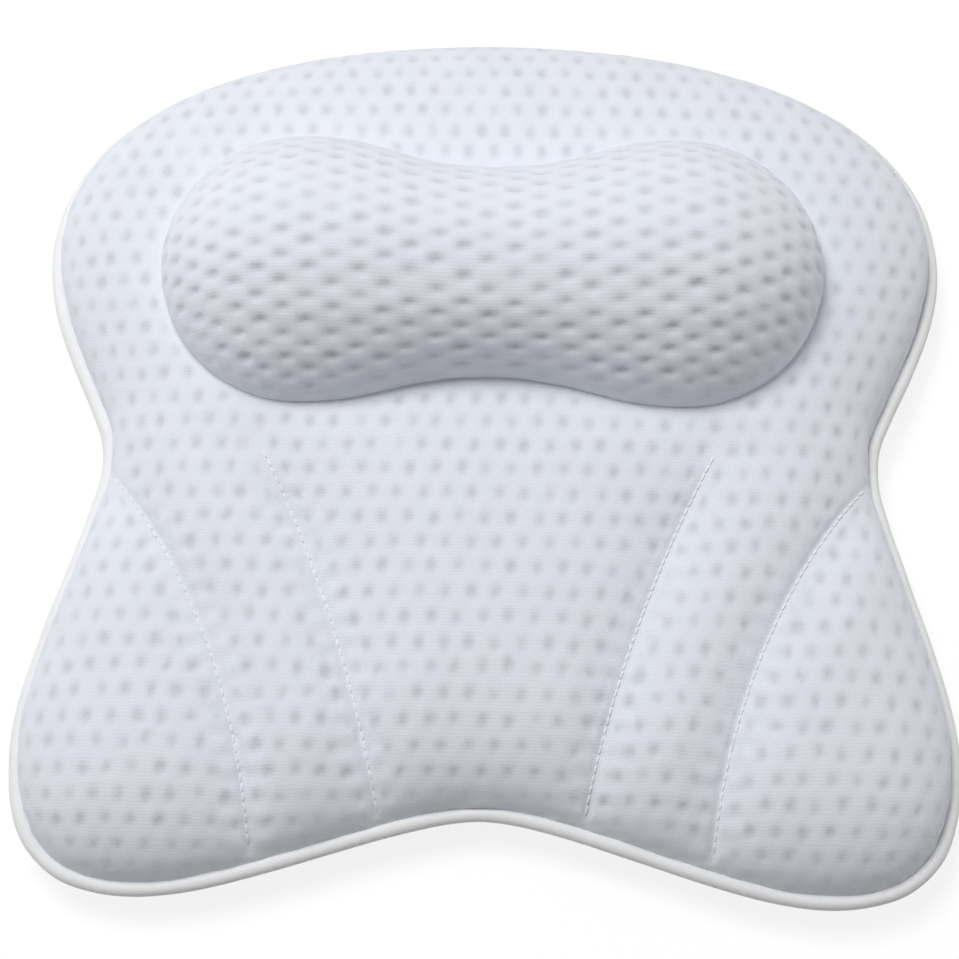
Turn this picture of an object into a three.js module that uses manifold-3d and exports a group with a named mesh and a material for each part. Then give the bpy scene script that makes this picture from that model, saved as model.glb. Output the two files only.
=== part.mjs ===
// A bath pillow with a raised neck roll, lying face up on its six suction cups.
// Units are millimetres. Seen from the front, +X is to the right and +Y towards the head end,
// and +Z points out of the face. The origin is under the middle, in the plane of the cups' lips.
import * as THREE from "three";
import { mergeVertices } from "three/addons/utils/BufferGeometryUtils.js";
import Module from "manifold-3d";

const wasm = await Module();
wasm.setup();

// Fits between pieces that lie on each other, and between a cup's neck and its eyelet.
const CLEARANCE = 0.3;
const EYELET_CLEARANCE = 0.6;

// Outline of the cover at its hem, half of it: head end, head sides, waist, wings, lobes and notch.
const COVER_LENGTH = 404;
const HEAD_HALF_WIDTH = 205;
const HEAD_WIDEST_DROP = 111;
const WAIST_INSET = 33;
const WAIST_RISE = 192;
const WING_INSET = 2;
const WING_WIDEST_RISE = 59;
const LOBE_INSET = 54;
const NOTCH_DEPTH = 35;

// Quilting seams, two on each side. The outer one starts on the hem below the waist, the inner one
// inside the pad level with the waist, and both bow towards the middle on their way to the lower hem.
const OUTER_SEAM_DROP = 10;
const OUTER_SEAM_HEM_INSET = 50;
const OUTER_SEAM_BOW = 21;
const INNER_SEAM_TOP_INSET = 69;
const BAND_HEM_WIDTH = 54;
const INNER_SEAM_BOW = 9;
const SEAM_BEND_SHARE = 0.3;
const SEAM_FADE_LENGTH = 45;
const SEAM_START_DEPTH = 0.35;

// Pad: the crown rises over the shoulder from the hem, and each seam draws in a channel.
const COVER_THICKNESS = 4;
const BATT_LOFT = 19.5;
const PAD_SHOULDER = 62;
const PAD_FULLNESS = 2.1;
const CHANNEL_DEPTH = 13;
const CHANNEL_HALF_WIDTH = 30;
const BASE_FOAM_THICKNESS = 10;
const BASE_FOAM_EDGE_MARGIN = 6;
const BACK_THICKNESS = 3;

// Neck roll: a bone shape in plan, tucked in at the seam that joins it to the face. With a lean of
// 0.5 its section is half an ellipse, and with 1 a parabola. Where the roll is less deep than at its
// lobes, it is lower by a power of that: little in the middle, and more towards its ends.
const ROLL_HEAD_MARGIN = 61;
const ROLL_END_INSET = 52;
const ROLL_LOBE_INSET = 67;
const ROLL_LOBE_DEPTH = 134;
const ROLL_TOP_DIP = 16;
const ROLL_BOTTOM_DIP = 12;
const ROLL_HEIGHT = 57;
const ROLL_BULGE_HEIGHT = 3;
const ROLL_TUCK = 1;
const ROLL_LEAN = 0.72;
const ROLL_MIDDLE_LIFT = 0.4;
const ROLL_END_LIFT = 1.05;

// Piping: a cord in a folded tape, whose two legs are sewn in between the hems.
const PIPING_CORD_RADIUS = 2.2;
const PIPING_CORD_SLACK = 0.5;
const PIPING_TAPE_THICKNESS = 0.7;
const PIPING_TAPE_SLIT = 0.4;
const PIPING_LEG_LENGTH = 8;

// Suction cups: a bell on a hub, with a neck and a mushroom head that buttons into the back.
const CUP_LIP_RADIUS = 30;
const CUP_LIP_WIDTH = 3;
const CUP_LIP_THICKNESS = 1.2;
const CUP_HEIGHT = 14;
const CUP_CROWN_THICKNESS = 3.5;
const CUP_HUB_RADIUS = 9;
const CUP_NECK_RADIUS = 4;
const CUP_HEAD_RADIUS = 7.5;
const CUP_HEAD_HEIGHT = 4;
const CUP_HEAD_RIM = 1.4;
const HEAD_CUP_INSET = 93;
const HEAD_CUP_RISE = 27;
const WAIST_CUP_INSET = 56;
const WAIST_CUP_RISE = -8;
const WING_CUP_INSET = 63;
const WING_CUP_RISE = 3;
const PATCH_RADIUS = 19;
const PATCH_THICKNESS = 1.2;

// Points closer than this are one point. A mitre is cut where its corner is sharper than the limit.
const SAME_POINT = 1e-2;
const MITRE_LIMIT = 0.3;

// Counts of facets, and the shares of a panel's width or a seam's length at which they end.
const UPPER_HALF_STEPS = 18;
const WING_STEPS = 16;
const ROLL_STEPS = 24;
const ROUND_STEPS = 20;
const BELL_STEPS = 4;
const TAPE_OUTER_STEPS = 7;
const TAPE_INNER_STEPS = 6;
const HALVINGS = 40;
const SEAM_SHARES = [0, 0.12, 0.24, 0.36, 0.48, 0.6, 0.71, 0.81, 0.9, 0.96, 1];
const BAND_SHARES = [0, 0.1, 0.28, 0.5, 0.72, 0.9, 1];
const CENTRE_HALF_SHARES = [0, 0.16, 0.36, 0.65, 1];
const HEAD_INNER_SHARES = [0, 0.3, 0.6];
const HEAD_OUTER_SHARES = [0.8, 0.92, 0.975, 1];
const WING_INNER_SHARES = [0, 0.12, 0.32, 0.55];
const WING_OUTER_SHARES = [0.78, 0.92, 1];
const ROLL_SHARES = [0, 0.03, 0.1, 0.22, 0.36, 0.5, 0.64, 0.78, 0.9, 0.97, 1];

// Levels, from the lips of the cups upwards.
const patchBottom = CUP_HEIGHT + CLEARANCE;
const backBottom = patchBottom + PATCH_THICKNESS + CLEARANCE;
const backTop = backBottom + BACK_THICKNESS;
const cupHeadBottom = backTop + CLEARANCE;
const tapeLegs = 2 * PIPING_TAPE_THICKNESS + PIPING_TAPE_SLIT;
const tapeMiddle = backTop + CLEARANCE + tapeLegs / 2;
const hemLevel = tapeMiddle + tapeLegs / 2 + CLEARANCE;
const foamBottom = backTop + CLEARANCE;
const foamTop = foamBottom + BASE_FOAM_THICKNESS;
const battBottom = foamTop + CLEARANCE;
const crownLevel = battBottom + BATT_LOFT + CLEARANCE + COVER_THICKNESS;
const padCrown = crownLevel - hemLevel;
const rollLevel = crownLevel + CLEARANCE;

const tapeInnerRadius = PIPING_CORD_RADIUS + PIPING_CORD_SLACK;
const tapeOuterRadius = tapeInnerRadius + PIPING_TAPE_THICKNESS;
const pipingOffset = tapeOuterRadius + CLEARANCE;

const FACE_WHITE = { color: 0xeef0f6, roughness: 0.95, metalness: 0 };
const FOAM_CREAM = { color: 0xf2efe2, roughness: 1, metalness: 0 };
const FIBRE_WHITE = { color: 0xf6f6f4, roughness: 1, metalness: 0 };
const TAPE_WHITE = { color: 0xf4f5f8, roughness: 0.9, metalness: 0 };
const CUP_CLEAR = { color: 0xdfe8ee, roughness: 0.25, metalness: 0 };

// Evenly spaced shares from 0 to 1.
function even(steps) {
  return Array.from({ length: steps + 1 }, (_, i) => i / steps);
}

function mirror(points) {
  return points.map((p) => new THREE.Vector2(-p.x, p.y));
}

function lerpPoints(from, to, share) {
  return from.map((p, i) => p.clone().lerp(to[i], share));
}

// One cubic curve between two knots whose tangents lie along an axis.
// A knot's "before" and "after" are the reach of its handles, as shares of the span on that axis.
function knotCurve(a, b) {
  const start = new THREE.Vector2(a.x, a.y);
  const end = new THREE.Vector2(b.x, b.y);
  const startHandle = start.clone();
  startHandle[a.along] += a.after * (end[a.along] - start[a.along]);
  const endHandle = end.clone();
  endHandle[b.along] -= b.before * (end[b.along] - start[b.along]);
  return new THREE.CubicBezierCurve(start, startHandle, endHandle, end);
}

function knotPath(knots) {
  const path = new THREE.CurvePath();
  knots.slice(1).forEach((knot, i) => path.add(knotCurve(knots[i], knot)));
  return path;
}

// The share of a path's length at which one of its curves reaches a value on an axis.
function shareWhere(path, curveIndex, axis, value) {
  const lengths = path.getCurveLengths();
  const total = path.getLength();
  let low = curveIndex > 0 ? lengths[curveIndex - 1] / total : 0;
  let high = lengths[curveIndex] / total;
  const rising = path.curves[curveIndex].getPoint(1)[axis] > path.curves[curveIndex].getPoint(0)[axis];
  for (let i = 0; i < HALVINGS; i++) {
    const middle = (low + high) / 2;
    const below = path.getPoint(middle)[axis] < value;
    if (below === rising) low = middle;
    else high = middle;
  }
  return (low + high) / 2;
}

// Points of a path between two shares of its length, moved outwards by an offset.
// The path runs clockwise, so that outwards is to its left, and its ends lie on the centre line.
function pathPoints(path, from, to, shares, offset) {
  return shares.map((share) => {
    const at = THREE.MathUtils.lerp(from, to, share);
    const tangent = path.getTangent(at);
    const outwards = new THREE.Vector2(-tangent.y, tangent.x);
    const moved = path.getPoint(at).addScaledVector(outwards, offset);
    return Math.abs(moved.x) < SAME_POINT ? moved.setX(0) : moved;
  });
}

const topY = COVER_LENGTH / 2;
const lobeY = -COVER_LENGTH / 2;
const headWidestY = topY - HEAD_WIDEST_DROP;
const waistY = lobeY + WAIST_RISE;
const wingWidestY = lobeY + WING_WIDEST_RISE;
const waistHalfWidth = HEAD_HALF_WIDTH - WAIST_INSET;
const wingHalfWidth = HEAD_HALF_WIDTH - WING_INSET;
const lobeX = wingHalfWidth - LOBE_INSET;
const outerSeamHemX = lobeX - OUTER_SEAM_HEM_INSET;
const coverPath = knotPath([
  { x: 0, y: topY, along: "x", after: 0.56 },
  { x: HEAD_HALF_WIDTH, y: headWidestY, along: "y", before: 0.68, after: 0.39 },
  { x: waistHalfWidth, y: waistY, along: "y", before: 0.22, after: 0.2 },
  { x: wingHalfWidth, y: wingWidestY, along: "y", before: 0.26, after: 0.65 },
  { x: lobeX, y: lobeY, along: "x", before: 0.78, after: 0.27 },
  { x: 0, y: lobeY + NOTCH_DEPTH, along: "x", before: 0.25 },
]);
const waistShare = shareWhere(coverPath, 2, "y", waistY - OUTER_SEAM_DROP);
const outerHemShare = shareWhere(coverPath, 4, "x", outerSeamHemX);
const innerHemShare = shareWhere(coverPath, 4, "x", outerSeamHemX - BAND_HEM_WIDTH);

// The four stretches of the right half of the outline, from the head end down to the notch.
function outlineRuns(offset) {
  const bandShares = BAND_SHARES.map((share) => 1 - share).reverse();
  return {
    upper: pathPoints(coverPath, 0, waistShare, even(UPPER_HALF_STEPS), offset),
    wing: pathPoints(coverPath, waistShare, outerHemShare, even(WING_STEPS), offset),
    bandHem: pathPoints(coverPath, outerHemShare, innerHemShare, bandShares, offset),
    centreHem: pathPoints(coverPath, innerHemShare, 1, CENTRE_HALF_SHARES, offset),
  };
}

// The whole outline, anticlockwise from the notch.
function outlineLoop(offset) {
  const runs = outlineRuns(offset);
  const down = [runs.upper, runs.wing, runs.bandHem, runs.centreHem];
  const right = down.flatMap((run, i) => (i > 0 ? run.slice(1) : run));
  const left = mirror(right).slice(1, -1);
  return [...right.reverse(), ...left];
}

// A right-hand seam from its top to the hem, bowed towards the middle of the pad.
function seamPoints(start, end, bow) {
  const way = end.clone().sub(start).normalize();
  const bowed = new THREE.Vector2(way.y, -way.x).multiplyScalar(bow);
  const upper = start.clone().lerp(end, SEAM_BEND_SHARE).add(bowed);
  const lower = start.clone().lerp(end, 1 - SEAM_BEND_SHARE).add(bowed);
  const curve = new THREE.CubicBezierCurve(start, upper, lower, end);
  return SEAM_SHARES.map((share) => curve.getPointAt(share));
}

// The right-hand seams, ending on the given stretches of outline.
function seamsTo(runs) {
  const innerTop = new THREE.Vector2(waistHalfWidth - INNER_SEAM_TOP_INSET, waistY);
  return {
    outer: seamPoints(runs.wing[0], runs.bandHem[0], OUTER_SEAM_BOW),
    inner: seamPoints(innerTop, runs.centreHem[0], INNER_SEAM_BOW),
  };
}

// The six panels of the pad, each as lines of points that run from one side of it to the other.
// Seen from above, a panel's lines follow each other to the left of the way they run.
function padPanels(offset) {
  const runs = outlineRuns(offset);
  const seams = seamsTo(runs);
  const innerLeft = mirror(seams.inner);

  const band = BAND_SHARES.map((share) => lerpPoints(seams.inner, seams.outer, share));
  const bandHem = runs.bandHem.slice().reverse();
  band.forEach((line, i) => line.splice(-1, 1, bandHem[i]));

  const half = CENTRE_HALF_SHARES.map((share) => share / 2);
  const centreShares = [...half, ...half.slice(0, -1).reverse().map((share) => 1 - share)];
  const centre = centreShares.map((share) => lerpPoints(innerLeft, seams.inner, share));
  const centreHem = [...mirror(runs.centreHem), ...runs.centreHem.slice(0, -1).reverse()];
  centre.forEach((line, i) => line.splice(-1, 1, centreHem[i]));

  const wing = spread(seams.outer, runs.wing, WING_INNER_SHARES, WING_OUTER_SHARES);

  const bandTop = band.map((line) => line[0]);
  const centreTop = centre.map((line) => line[0]);
  const bandTopLeft = mirror(bandTop).reverse();
  const lower = [...bandTopLeft, ...centreTop.slice(1, -1), ...bandTop];
  const upper = [...mirror(runs.upper).reverse(), ...runs.upper.slice(1)];
  const head = spread(lower, upper, HEAD_INNER_SHARES, HEAD_OUTER_SHARES);

  return {
    head_batt: head,
    centre_batt: centre,
    left_band_batt: mirrorLines(band),
    right_band_batt: band,
    left_wing_batt: mirrorLines(wing),
    right_wing_batt: wing,
  };
}

function mirrorLines(lines) {
  return lines.map(mirror).reverse();
}

// A polyline resampled to a number of equal steps along its length.
function resample(points, steps) {
  const path = new THREE.CurvePath();
  points.slice(1).forEach((p, i) => path.add(new THREE.LineCurve(points[i], p)));
  return even(steps).map((share) => path.getPoint(share));
}

// Lines between an inner and an outer side. The lines near the outer side take its points,
// and the lines near the inner side keep the inner side's points.
function spread(inner, outer, innerShares, outerShares) {
  const outerOnInner = resample(outer, inner.length - 1);
  const innerOnOuter = resample(inner, outer.length - 1);
  const near = innerShares.map((share) => lerpPoints(inner, outerOnInner, share));
  const far = outerShares.map((share) => lerpPoints(innerOnOuter, outer, share));
  return [...near, ...far];
}

// Distance from a point to a line of points, and how far along the line the nearest point is.
function nearestOn(points, p) {
  const best = { distance: Infinity, along: 0 };
  let along = 0;
  for (let i = 0; i + 1 < points.length; i++) {
    const step = points[i + 1].clone().sub(points[i]);
    const length = step.length();
    const reach = p.clone().sub(points[i]).dot(step) / (length * length);
    const share = THREE.MathUtils.clamp(reach, 0, 1);
    const distance = p.distanceTo(points[i].clone().addScaledVector(step, share));
    if (distance < best.distance) {
      best.distance = distance;
      best.along = along + share * length;
    }
    along += length;
  }
  return best;
}

function superellipse(share, fullness) {
  return (1 - (1 - THREE.MathUtils.clamp(share, 0, 1)) ** fullness) ** (1 / fullness);
}

// How strongly the seams draw the face in at a point: 1 on a seam, 0 away from all of them.
const coverSeams = seamsTo(outlineRuns(0));
function drawIn(p) {
  const right = new THREE.Vector2(Math.abs(p.x), p.y);
  const inner = nearestOn(coverSeams.inner, right);
  const outer = nearestOn(coverSeams.outer, right);
  const grown = THREE.MathUtils.smoothstep(inner.along, 0, SEAM_FADE_LENGTH);
  const strength = THREE.MathUtils.lerp(SEAM_START_DEPTH, 1, grown);
  const valley = (distance) => (1 - Math.min(distance / CHANNEL_HALF_WIDTH, 1)) ** 2;
  return Math.max(strength * valley(inner.distance), valley(outer.distance));
}

// The level of a quilted surface that rises from the outline at an offset to a crown.
function padSurface(offset, crown, drop) {
  const loop = outlineLoop(offset);
  loop.push(loop[0]);
  return (p) => {
    const fromHem = nearestOn(loop, p).distance;
    if (fromHem < SAME_POINT) return hemLevel - drop;
    const rise = crown * superellipse(fromHem / PAD_SHOULDER, PAD_FULLNESS);
    return hemLevel + rise * (1 - (CHANNEL_DEPTH / padCrown) * drawIn(p)) - drop;
  };
}

// Triangles gathered corner by corner.
function newFaces() {
  return { corners: [] };
}

function addTriangle(faces, a, b, c) {
  faces.corners.push(...a.toArray(), ...b.toArray(), ...c.toArray());
}

// A strip of triangles between two lines of points that run the same way.
// It faces along the way of the lines crossed with the way from the first to the second,
// or the other way where it is the inside of a wall.
function addStrip(faces, first, second, isInside = false) {
  const add = (a, b, c) => (isInside ? addTriangle(faces, a, c, b) : addTriangle(faces, a, b, c));
  let i = 0;
  let j = 0;
  while (i + 1 < first.length || j + 1 < second.length) {
    const firstIsNext = (i + 1) * (second.length - 1) <= (j + 1) * (first.length - 1);
    if (firstIsNext && i + 1 < first.length) {
      add(first[i], first[i + 1], second[j]);
      i++;
    } else {
      add(first[i], second[j + 1], second[j]);
      j++;
    }
  }
}

function addClosedStrip(faces, first, second, isInside = false) {
  addStrip(faces, [...first, first[0]], [...second, second[0]], isInside);
}

function addSurface(faces, lines, level, isInside = false) {
  const raised = lines.map((line) => line.map((p) => new THREE.Vector3(p.x, p.y, level(p))));
  raised.slice(1).forEach((line, k) => addStrip(faces, raised[k], line, isInside));
}

function atLevel(loop, z) {
  return loop.map((p) => new THREE.Vector3(p.x, p.y, z));
}

// A flat floor across an anticlockwise loop, facing down.
function addFloor(faces, loop, z) {
  const corners = atLevel(loop, z);
  for (const [a, b, c] of THREE.ShapeUtils.triangulateShape(loop, [])) {
    addTriangle(faces, corners[a], corners[c], corners[b]);
  }
}

// A closed geometry with its shared corners merged and empty triangles dropped.
function closedGeometry(geometry) {
  const bare = new THREE.BufferGeometry();
  const plain = geometry.index ? geometry.toNonIndexed() : geometry;
  bare.setAttribute("position", plain.getAttribute("position"));
  const merged = mergeVertices(bare, SAME_POINT);
  const kept = [];
  for (let i = 0; i < merged.index.count; i += 3) {
    const [a, b, c] = [0, 1, 2].map((corner) => merged.index.getX(i + corner));
    if (a !== b && b !== c && c !== a) kept.push(a, b, c);
  }
  merged.setIndex(kept);
  return merged;
}

function facesGeometry(faces) {
  const geometry = new THREE.BufferGeometry();
  geometry.setAttribute("position", new THREE.Float32BufferAttribute(faces.corners, 3));
  return closedGeometry(geometry);
}

function toSolid(geometry) {
  const closed = closedGeometry(geometry);
  const mesh = new wasm.Mesh({
    numProp: 3,
    vertProperties: new Float32Array(closed.getAttribute("position").array),
    triVerts: new Uint32Array(closed.index.array),
  });
  return new wasm.Manifold(mesh);
}

function fromSolid(solid) {
  const mesh = solid.getMesh();
  const geometry = new THREE.BufferGeometry();
  geometry.setAttribute("position", new THREE.Float32BufferAttribute(mesh.vertProperties, 3));
  geometry.setIndex(Array.from(mesh.triVerts));
  return geometry;
}

// A flat plate of a given outline and holes, between two levels.
function plate(loop, holes, bottom, top) {
  const shape = new THREE.Shape(loop);
  shape.holes = holes;
  const geometry = new THREE.ExtrudeGeometry(shape, { depth: top - bottom, bevelEnabled: false });
  return geometry.translate(0, 0, bottom);
}

function circle(centre, radius) {
  const points = even(ROUND_STEPS).slice(0, -1).map((share) => {
    const angle = 2 * Math.PI * share;
    return new THREE.Vector2(Math.cos(angle), Math.sin(angle)).multiplyScalar(radius).add(centre);
  });
  return new THREE.Path(points);
}

const root = new THREE.Group();
function addPiece(name, geometry, finish) {
  const mesh = new THREE.Mesh(geometry, new THREE.MeshStandardMaterial(finish));
  mesh.name = name;
  root.add(mesh);
  return mesh;
}

// Every cup, with its name and its place on the back, set in from the outline at its height.
function cupPair(zone, x, y) {
  return [
    { name: zone + "_left", place: new THREE.Vector2(-x, y) },
    { name: zone + "_right", place: new THREE.Vector2(x, y) },
  ];
}

const cups = [
  ...cupPair("head", HEAD_HALF_WIDTH - HEAD_CUP_INSET, headWidestY + HEAD_CUP_RISE),
  ...cupPair("waist", waistHalfWidth - WAIST_CUP_INSET, waistY + WAIST_CUP_RISE),
  ...cupPair("wing", wingHalfWidth - WING_CUP_INSET, wingWidestY + WING_CUP_RISE),
];

// Face cover: one quilted shell, open at the hem.
function faceCover() {
  const faces = newFaces();
  const outside = padSurface(0, padCrown, 0);
  const inside = padSurface(-COVER_THICKNESS, padCrown - COVER_THICKNESS, 0);
  for (const lines of Object.values(padPanels(0))) addSurface(faces, lines, outside);
  for (const lines of Object.values(padPanels(-COVER_THICKNESS))) addSurface(faces, lines, inside, true);
  const outerHem = atLevel(outlineLoop(0), hemLevel);
  const innerHem = atLevel(outlineLoop(-COVER_THICKNESS), hemLevel);
  addClosedStrip(faces, innerHem, outerHem);
  return facesGeometry(faces);
}

// How far the base foam and the batts on it stay inside the hem, so that the cover clears them
// where a channel draws it down.
function foamInset() {
  const channelShare = 1 - CHANNEL_DEPTH / padCrown;
  const reach = (battBottom - hemLevel) / ((padCrown - COVER_THICKNESS) * channelShare);
  const share = 1 - (1 - reach ** PAD_FULLNESS) ** (1 / PAD_FULLNESS);
  const underCover = COVER_THICKNESS + PAD_SHOULDER * share + BASE_FOAM_EDGE_MARGIN;
  return Math.max(underCover, PIPING_LEG_LENGTH + CLEARANCE);
}

// A closed loop moved inwards by a distance, for an anticlockwise loop.
function insetLoop(loop, distance) {
  return loop.map((p, i) => {
    const before = loop[(i + loop.length - 1) % loop.length];
    const after = loop[(i + 1) % loop.length];
    const arriving = p.clone().sub(before).normalize();
    const leaving = after.clone().sub(p).normalize();
    const tangent = arriving.clone().add(leaving).normalize();
    const inwards = new THREE.Vector2(-tangent.y, tangent.x);
    return p.clone().addScaledVector(inwards, distance / Math.max(tangent.dot(leaving), MITRE_LIMIT));
  });
}

// The outline of a panel, anticlockwise: down its first line, along the hem, up its last line.
function panelLoop(lines) {
  const first = lines[0];
  const last = lines[lines.length - 1];
  const ends = lines.slice(1, -1).map((line) => line[line.length - 1]);
  const starts = lines.slice(1, -1).map((line) => line[0]).reverse();
  const loop = [...first, ...ends, ...last.slice().reverse(), ...starts];
  return loop.filter((p, i) => p.distanceTo(loop[(i + 1) % loop.length]) > CLEARANCE / 2);
}

// Fibre batts: one for each panel of the pad, between the base foam and the cover.
function addBatts() {
  const faces = newFaces();
  const panels = padPanels(-COVER_THICKNESS);
  const top = padSurface(-COVER_THICKNESS, padCrown - COVER_THICKNESS, CLEARANCE);
  for (const lines of Object.values(panels)) addSurface(faces, lines, top);
  const edge = outlineLoop(-COVER_THICKNESS);
  addClosedStrip(faces, atLevel(edge, backTop), atLevel(edge, hemLevel - CLEARANCE));
  addFloor(faces, edge, backTop);
  const bed = toSolid(plate(outlineLoop(-foamInset()), [], battBottom, rollLevel));
  const fill = toSolid(facesGeometry(faces)).intersect(bed);
  for (const [name, lines] of Object.entries(panels)) {
    const cutter = plate(insetLoop(panelLoop(lines), CLEARANCE), [], backTop, rollLevel);
    addPiece(name, fromSolid(fill.intersect(toSolid(cutter))), FIBRE_WHITE);
  }
}

// Base foam: a cut sheet with a pocket over the head of each cup.
function baseFoam() {
  let foam = toSolid(plate(outlineLoop(-foamInset()), [], foamBottom, foamTop));
  for (const { place } of cups) {
    const radius = CUP_HEAD_RADIUS + EYELET_CLEARANCE;
    const pocketTop = cupHeadBottom + CUP_HEAD_HEIGHT + CLEARANCE;
    foam = foam.subtract(toSolid(plate(circle(place, radius).getPoints(), [], backTop, pocketTop)));
  }
  return fromSolid(foam);
}

function backCover() {
  const eyelets = cups.map(({ place }) => circle(place, CUP_NECK_RADIUS + EYELET_CLEARANCE));
  return plate(outlineLoop(0), eyelets, backBottom, backTop);
}

function cupPatch(place) {
  const eyelet = circle(place, CUP_NECK_RADIUS + EYELET_CLEARANCE);
  return plate(circle(place, PATCH_RADIUS).getPoints(), [eyelet], patchBottom, patchBottom + PATCH_THICKNESS);
}

// A section, in offset from the hem and height, carried round the outline of the cover.
function sweepRound(section) {
  const faces = newFaces();
  const rings = section.map((p) => atLevel(outlineLoop(p.x), p.y));
  rings.forEach((ring, i) => addClosedStrip(faces, ring, rings[(i + 1) % rings.length]));
  return facesGeometry(faces);
}

function arcPoints(radius, startAngle, endAngle, steps) {
  return even(steps).map((share) => {
    const angle = THREE.MathUtils.lerp(startAngle, endAngle, share);
    return new THREE.Vector2(pipingOffset + radius * Math.cos(angle), tapeMiddle + radius * Math.sin(angle));
  });
}

// Piping tape: wrapped round the cord, with both legs running in between the hems.
const slitAngle = Math.PI - Math.asin(PIPING_TAPE_SLIT / 2 / tapeInnerRadius);
function pipingTape() {
  const legEnd = -PIPING_LEG_LENGTH;
  const legAngle = Math.PI - Math.asin(tapeLegs / 2 / tapeOuterRadius);
  return sweepRound([
    ...arcPoints(tapeOuterRadius, -legAngle, legAngle, TAPE_OUTER_STEPS),
    new THREE.Vector2(legEnd, tapeMiddle + tapeLegs / 2),
    new THREE.Vector2(legEnd, tapeMiddle + PIPING_TAPE_SLIT / 2),
    ...arcPoints(tapeInnerRadius, slitAngle, -slitAngle, TAPE_INNER_STEPS),
    new THREE.Vector2(legEnd, tapeMiddle - PIPING_TAPE_SLIT / 2),
    new THREE.Vector2(legEnd, tapeMiddle - tapeLegs / 2),
  ]);
}

// Piping cord: its corners face those inside the tape.
function pipingCord() {
  return sweepRound(arcPoints(PIPING_CORD_RADIUS, -slitAngle, slitAngle, TAPE_INNER_STEPS));
}

// One of the roll's two edges in plan, from its left end to its right end.
const rollHalfLength = HEAD_HALF_WIDTH - ROLL_END_INSET;
const rollLobeX = rollHalfLength - ROLL_LOBE_INSET;
const rollTopY = topY - ROLL_HEAD_MARGIN;
const rollBottomY = rollTopY - ROLL_LOBE_DEPTH;
function rollEdge(middleY, lobeEdgeY) {
  const path = knotPath([
    { x: 0, y: middleY, along: "x", after: 0.5 },
    { x: rollLobeX, y: lobeEdgeY, along: "x", before: 0.42, after: 0.52 },
    { x: rollHalfLength, y: (rollTopY + rollBottomY) / 2, along: "y", before: 0.58 },
  ]);
  const half = even(ROLL_STEPS / 2).map((share) => path.getPoint(share));
  return [...mirror(half).reverse(), ...half.slice(1)];
}

function rollLoop(inset) {
  const lower = rollEdge(rollBottomY + ROLL_BOTTOM_DIP, rollBottomY);
  const upper = rollEdge(rollTopY - ROLL_TOP_DIP, rollTopY);
  return insetLoop([...lower, ...upper.slice(1, -1).reverse()], inset);
}

// A surface of the roll, inset from its outside: the drawn-in sides, then the crown.
function addRollSurface(faces, inset, isInside = false) {
  const loop = rollLoop(inset);
  const lower = loop.slice(0, ROLL_STEPS + 1);
  const upper = [lower[0], ...loop.slice(ROLL_STEPS + 1).reverse(), lower[ROLL_STEPS]];
  const bulgeLevel = rollLevel + ROLL_BULGE_HEIGHT;
  const crown = ROLL_HEIGHT - ROLL_BULGE_HEIGHT - inset;
  const lobeDepth = ROLL_LOBE_DEPTH - 2 * inset;
  const lines = ROLL_SHARES.map((share) => lerpPoints(lower, upper, share));
  const raised = lines.map((line, k) => {
    const across = 1 - Math.abs(2 * ROLL_SHARES[k] - 1);
    const section = (1 - (1 - across) ** 2) ** ROLL_LEAN;
    return line.map((p, i) => {
      const depth = Math.min(lower[i].distanceTo(upper[i]) / lobeDepth, 1);
      const lift = Math.abs(lower[i].x) > rollLobeX ? ROLL_END_LIFT : ROLL_MIDDLE_LIFT;
      return new THREE.Vector3(p.x, p.y, bulgeLevel + crown * section * depth ** lift);
    });
  });
  const rings = [
    atLevel(rollLoop(inset + ROLL_TUCK), rollLevel),
    atLevel(rollLoop(inset + ROLL_TUCK / 4), rollLevel + ROLL_BULGE_HEIGHT / 2),
    atLevel(loop, bulgeLevel),
  ];
  raised.slice(1).forEach((line, k) => addStrip(faces, raised[k], line, isInside));
  rings.slice(1).forEach((ring, k) => addClosedStrip(faces, rings[k], ring, isInside));
}

function neckRollCover() {
  const faces = newFaces();
  addRollSurface(faces, 0);
  addRollSurface(faces, COVER_THICKNESS, true);
  const outer = atLevel(rollLoop(ROLL_TUCK), rollLevel);
  const inner = atLevel(rollLoop(ROLL_TUCK + COVER_THICKNESS), rollLevel);
  addClosedStrip(faces, inner, outer);
  return facesGeometry(faces);
}

function neckRollCore() {
  const faces = newFaces();
  const inset = COVER_THICKNESS + CLEARANCE;
  addRollSurface(faces, inset);
  addFloor(faces, rollLoop(inset + ROLL_TUCK), rollLevel);
  return facesGeometry(faces);
}

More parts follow.
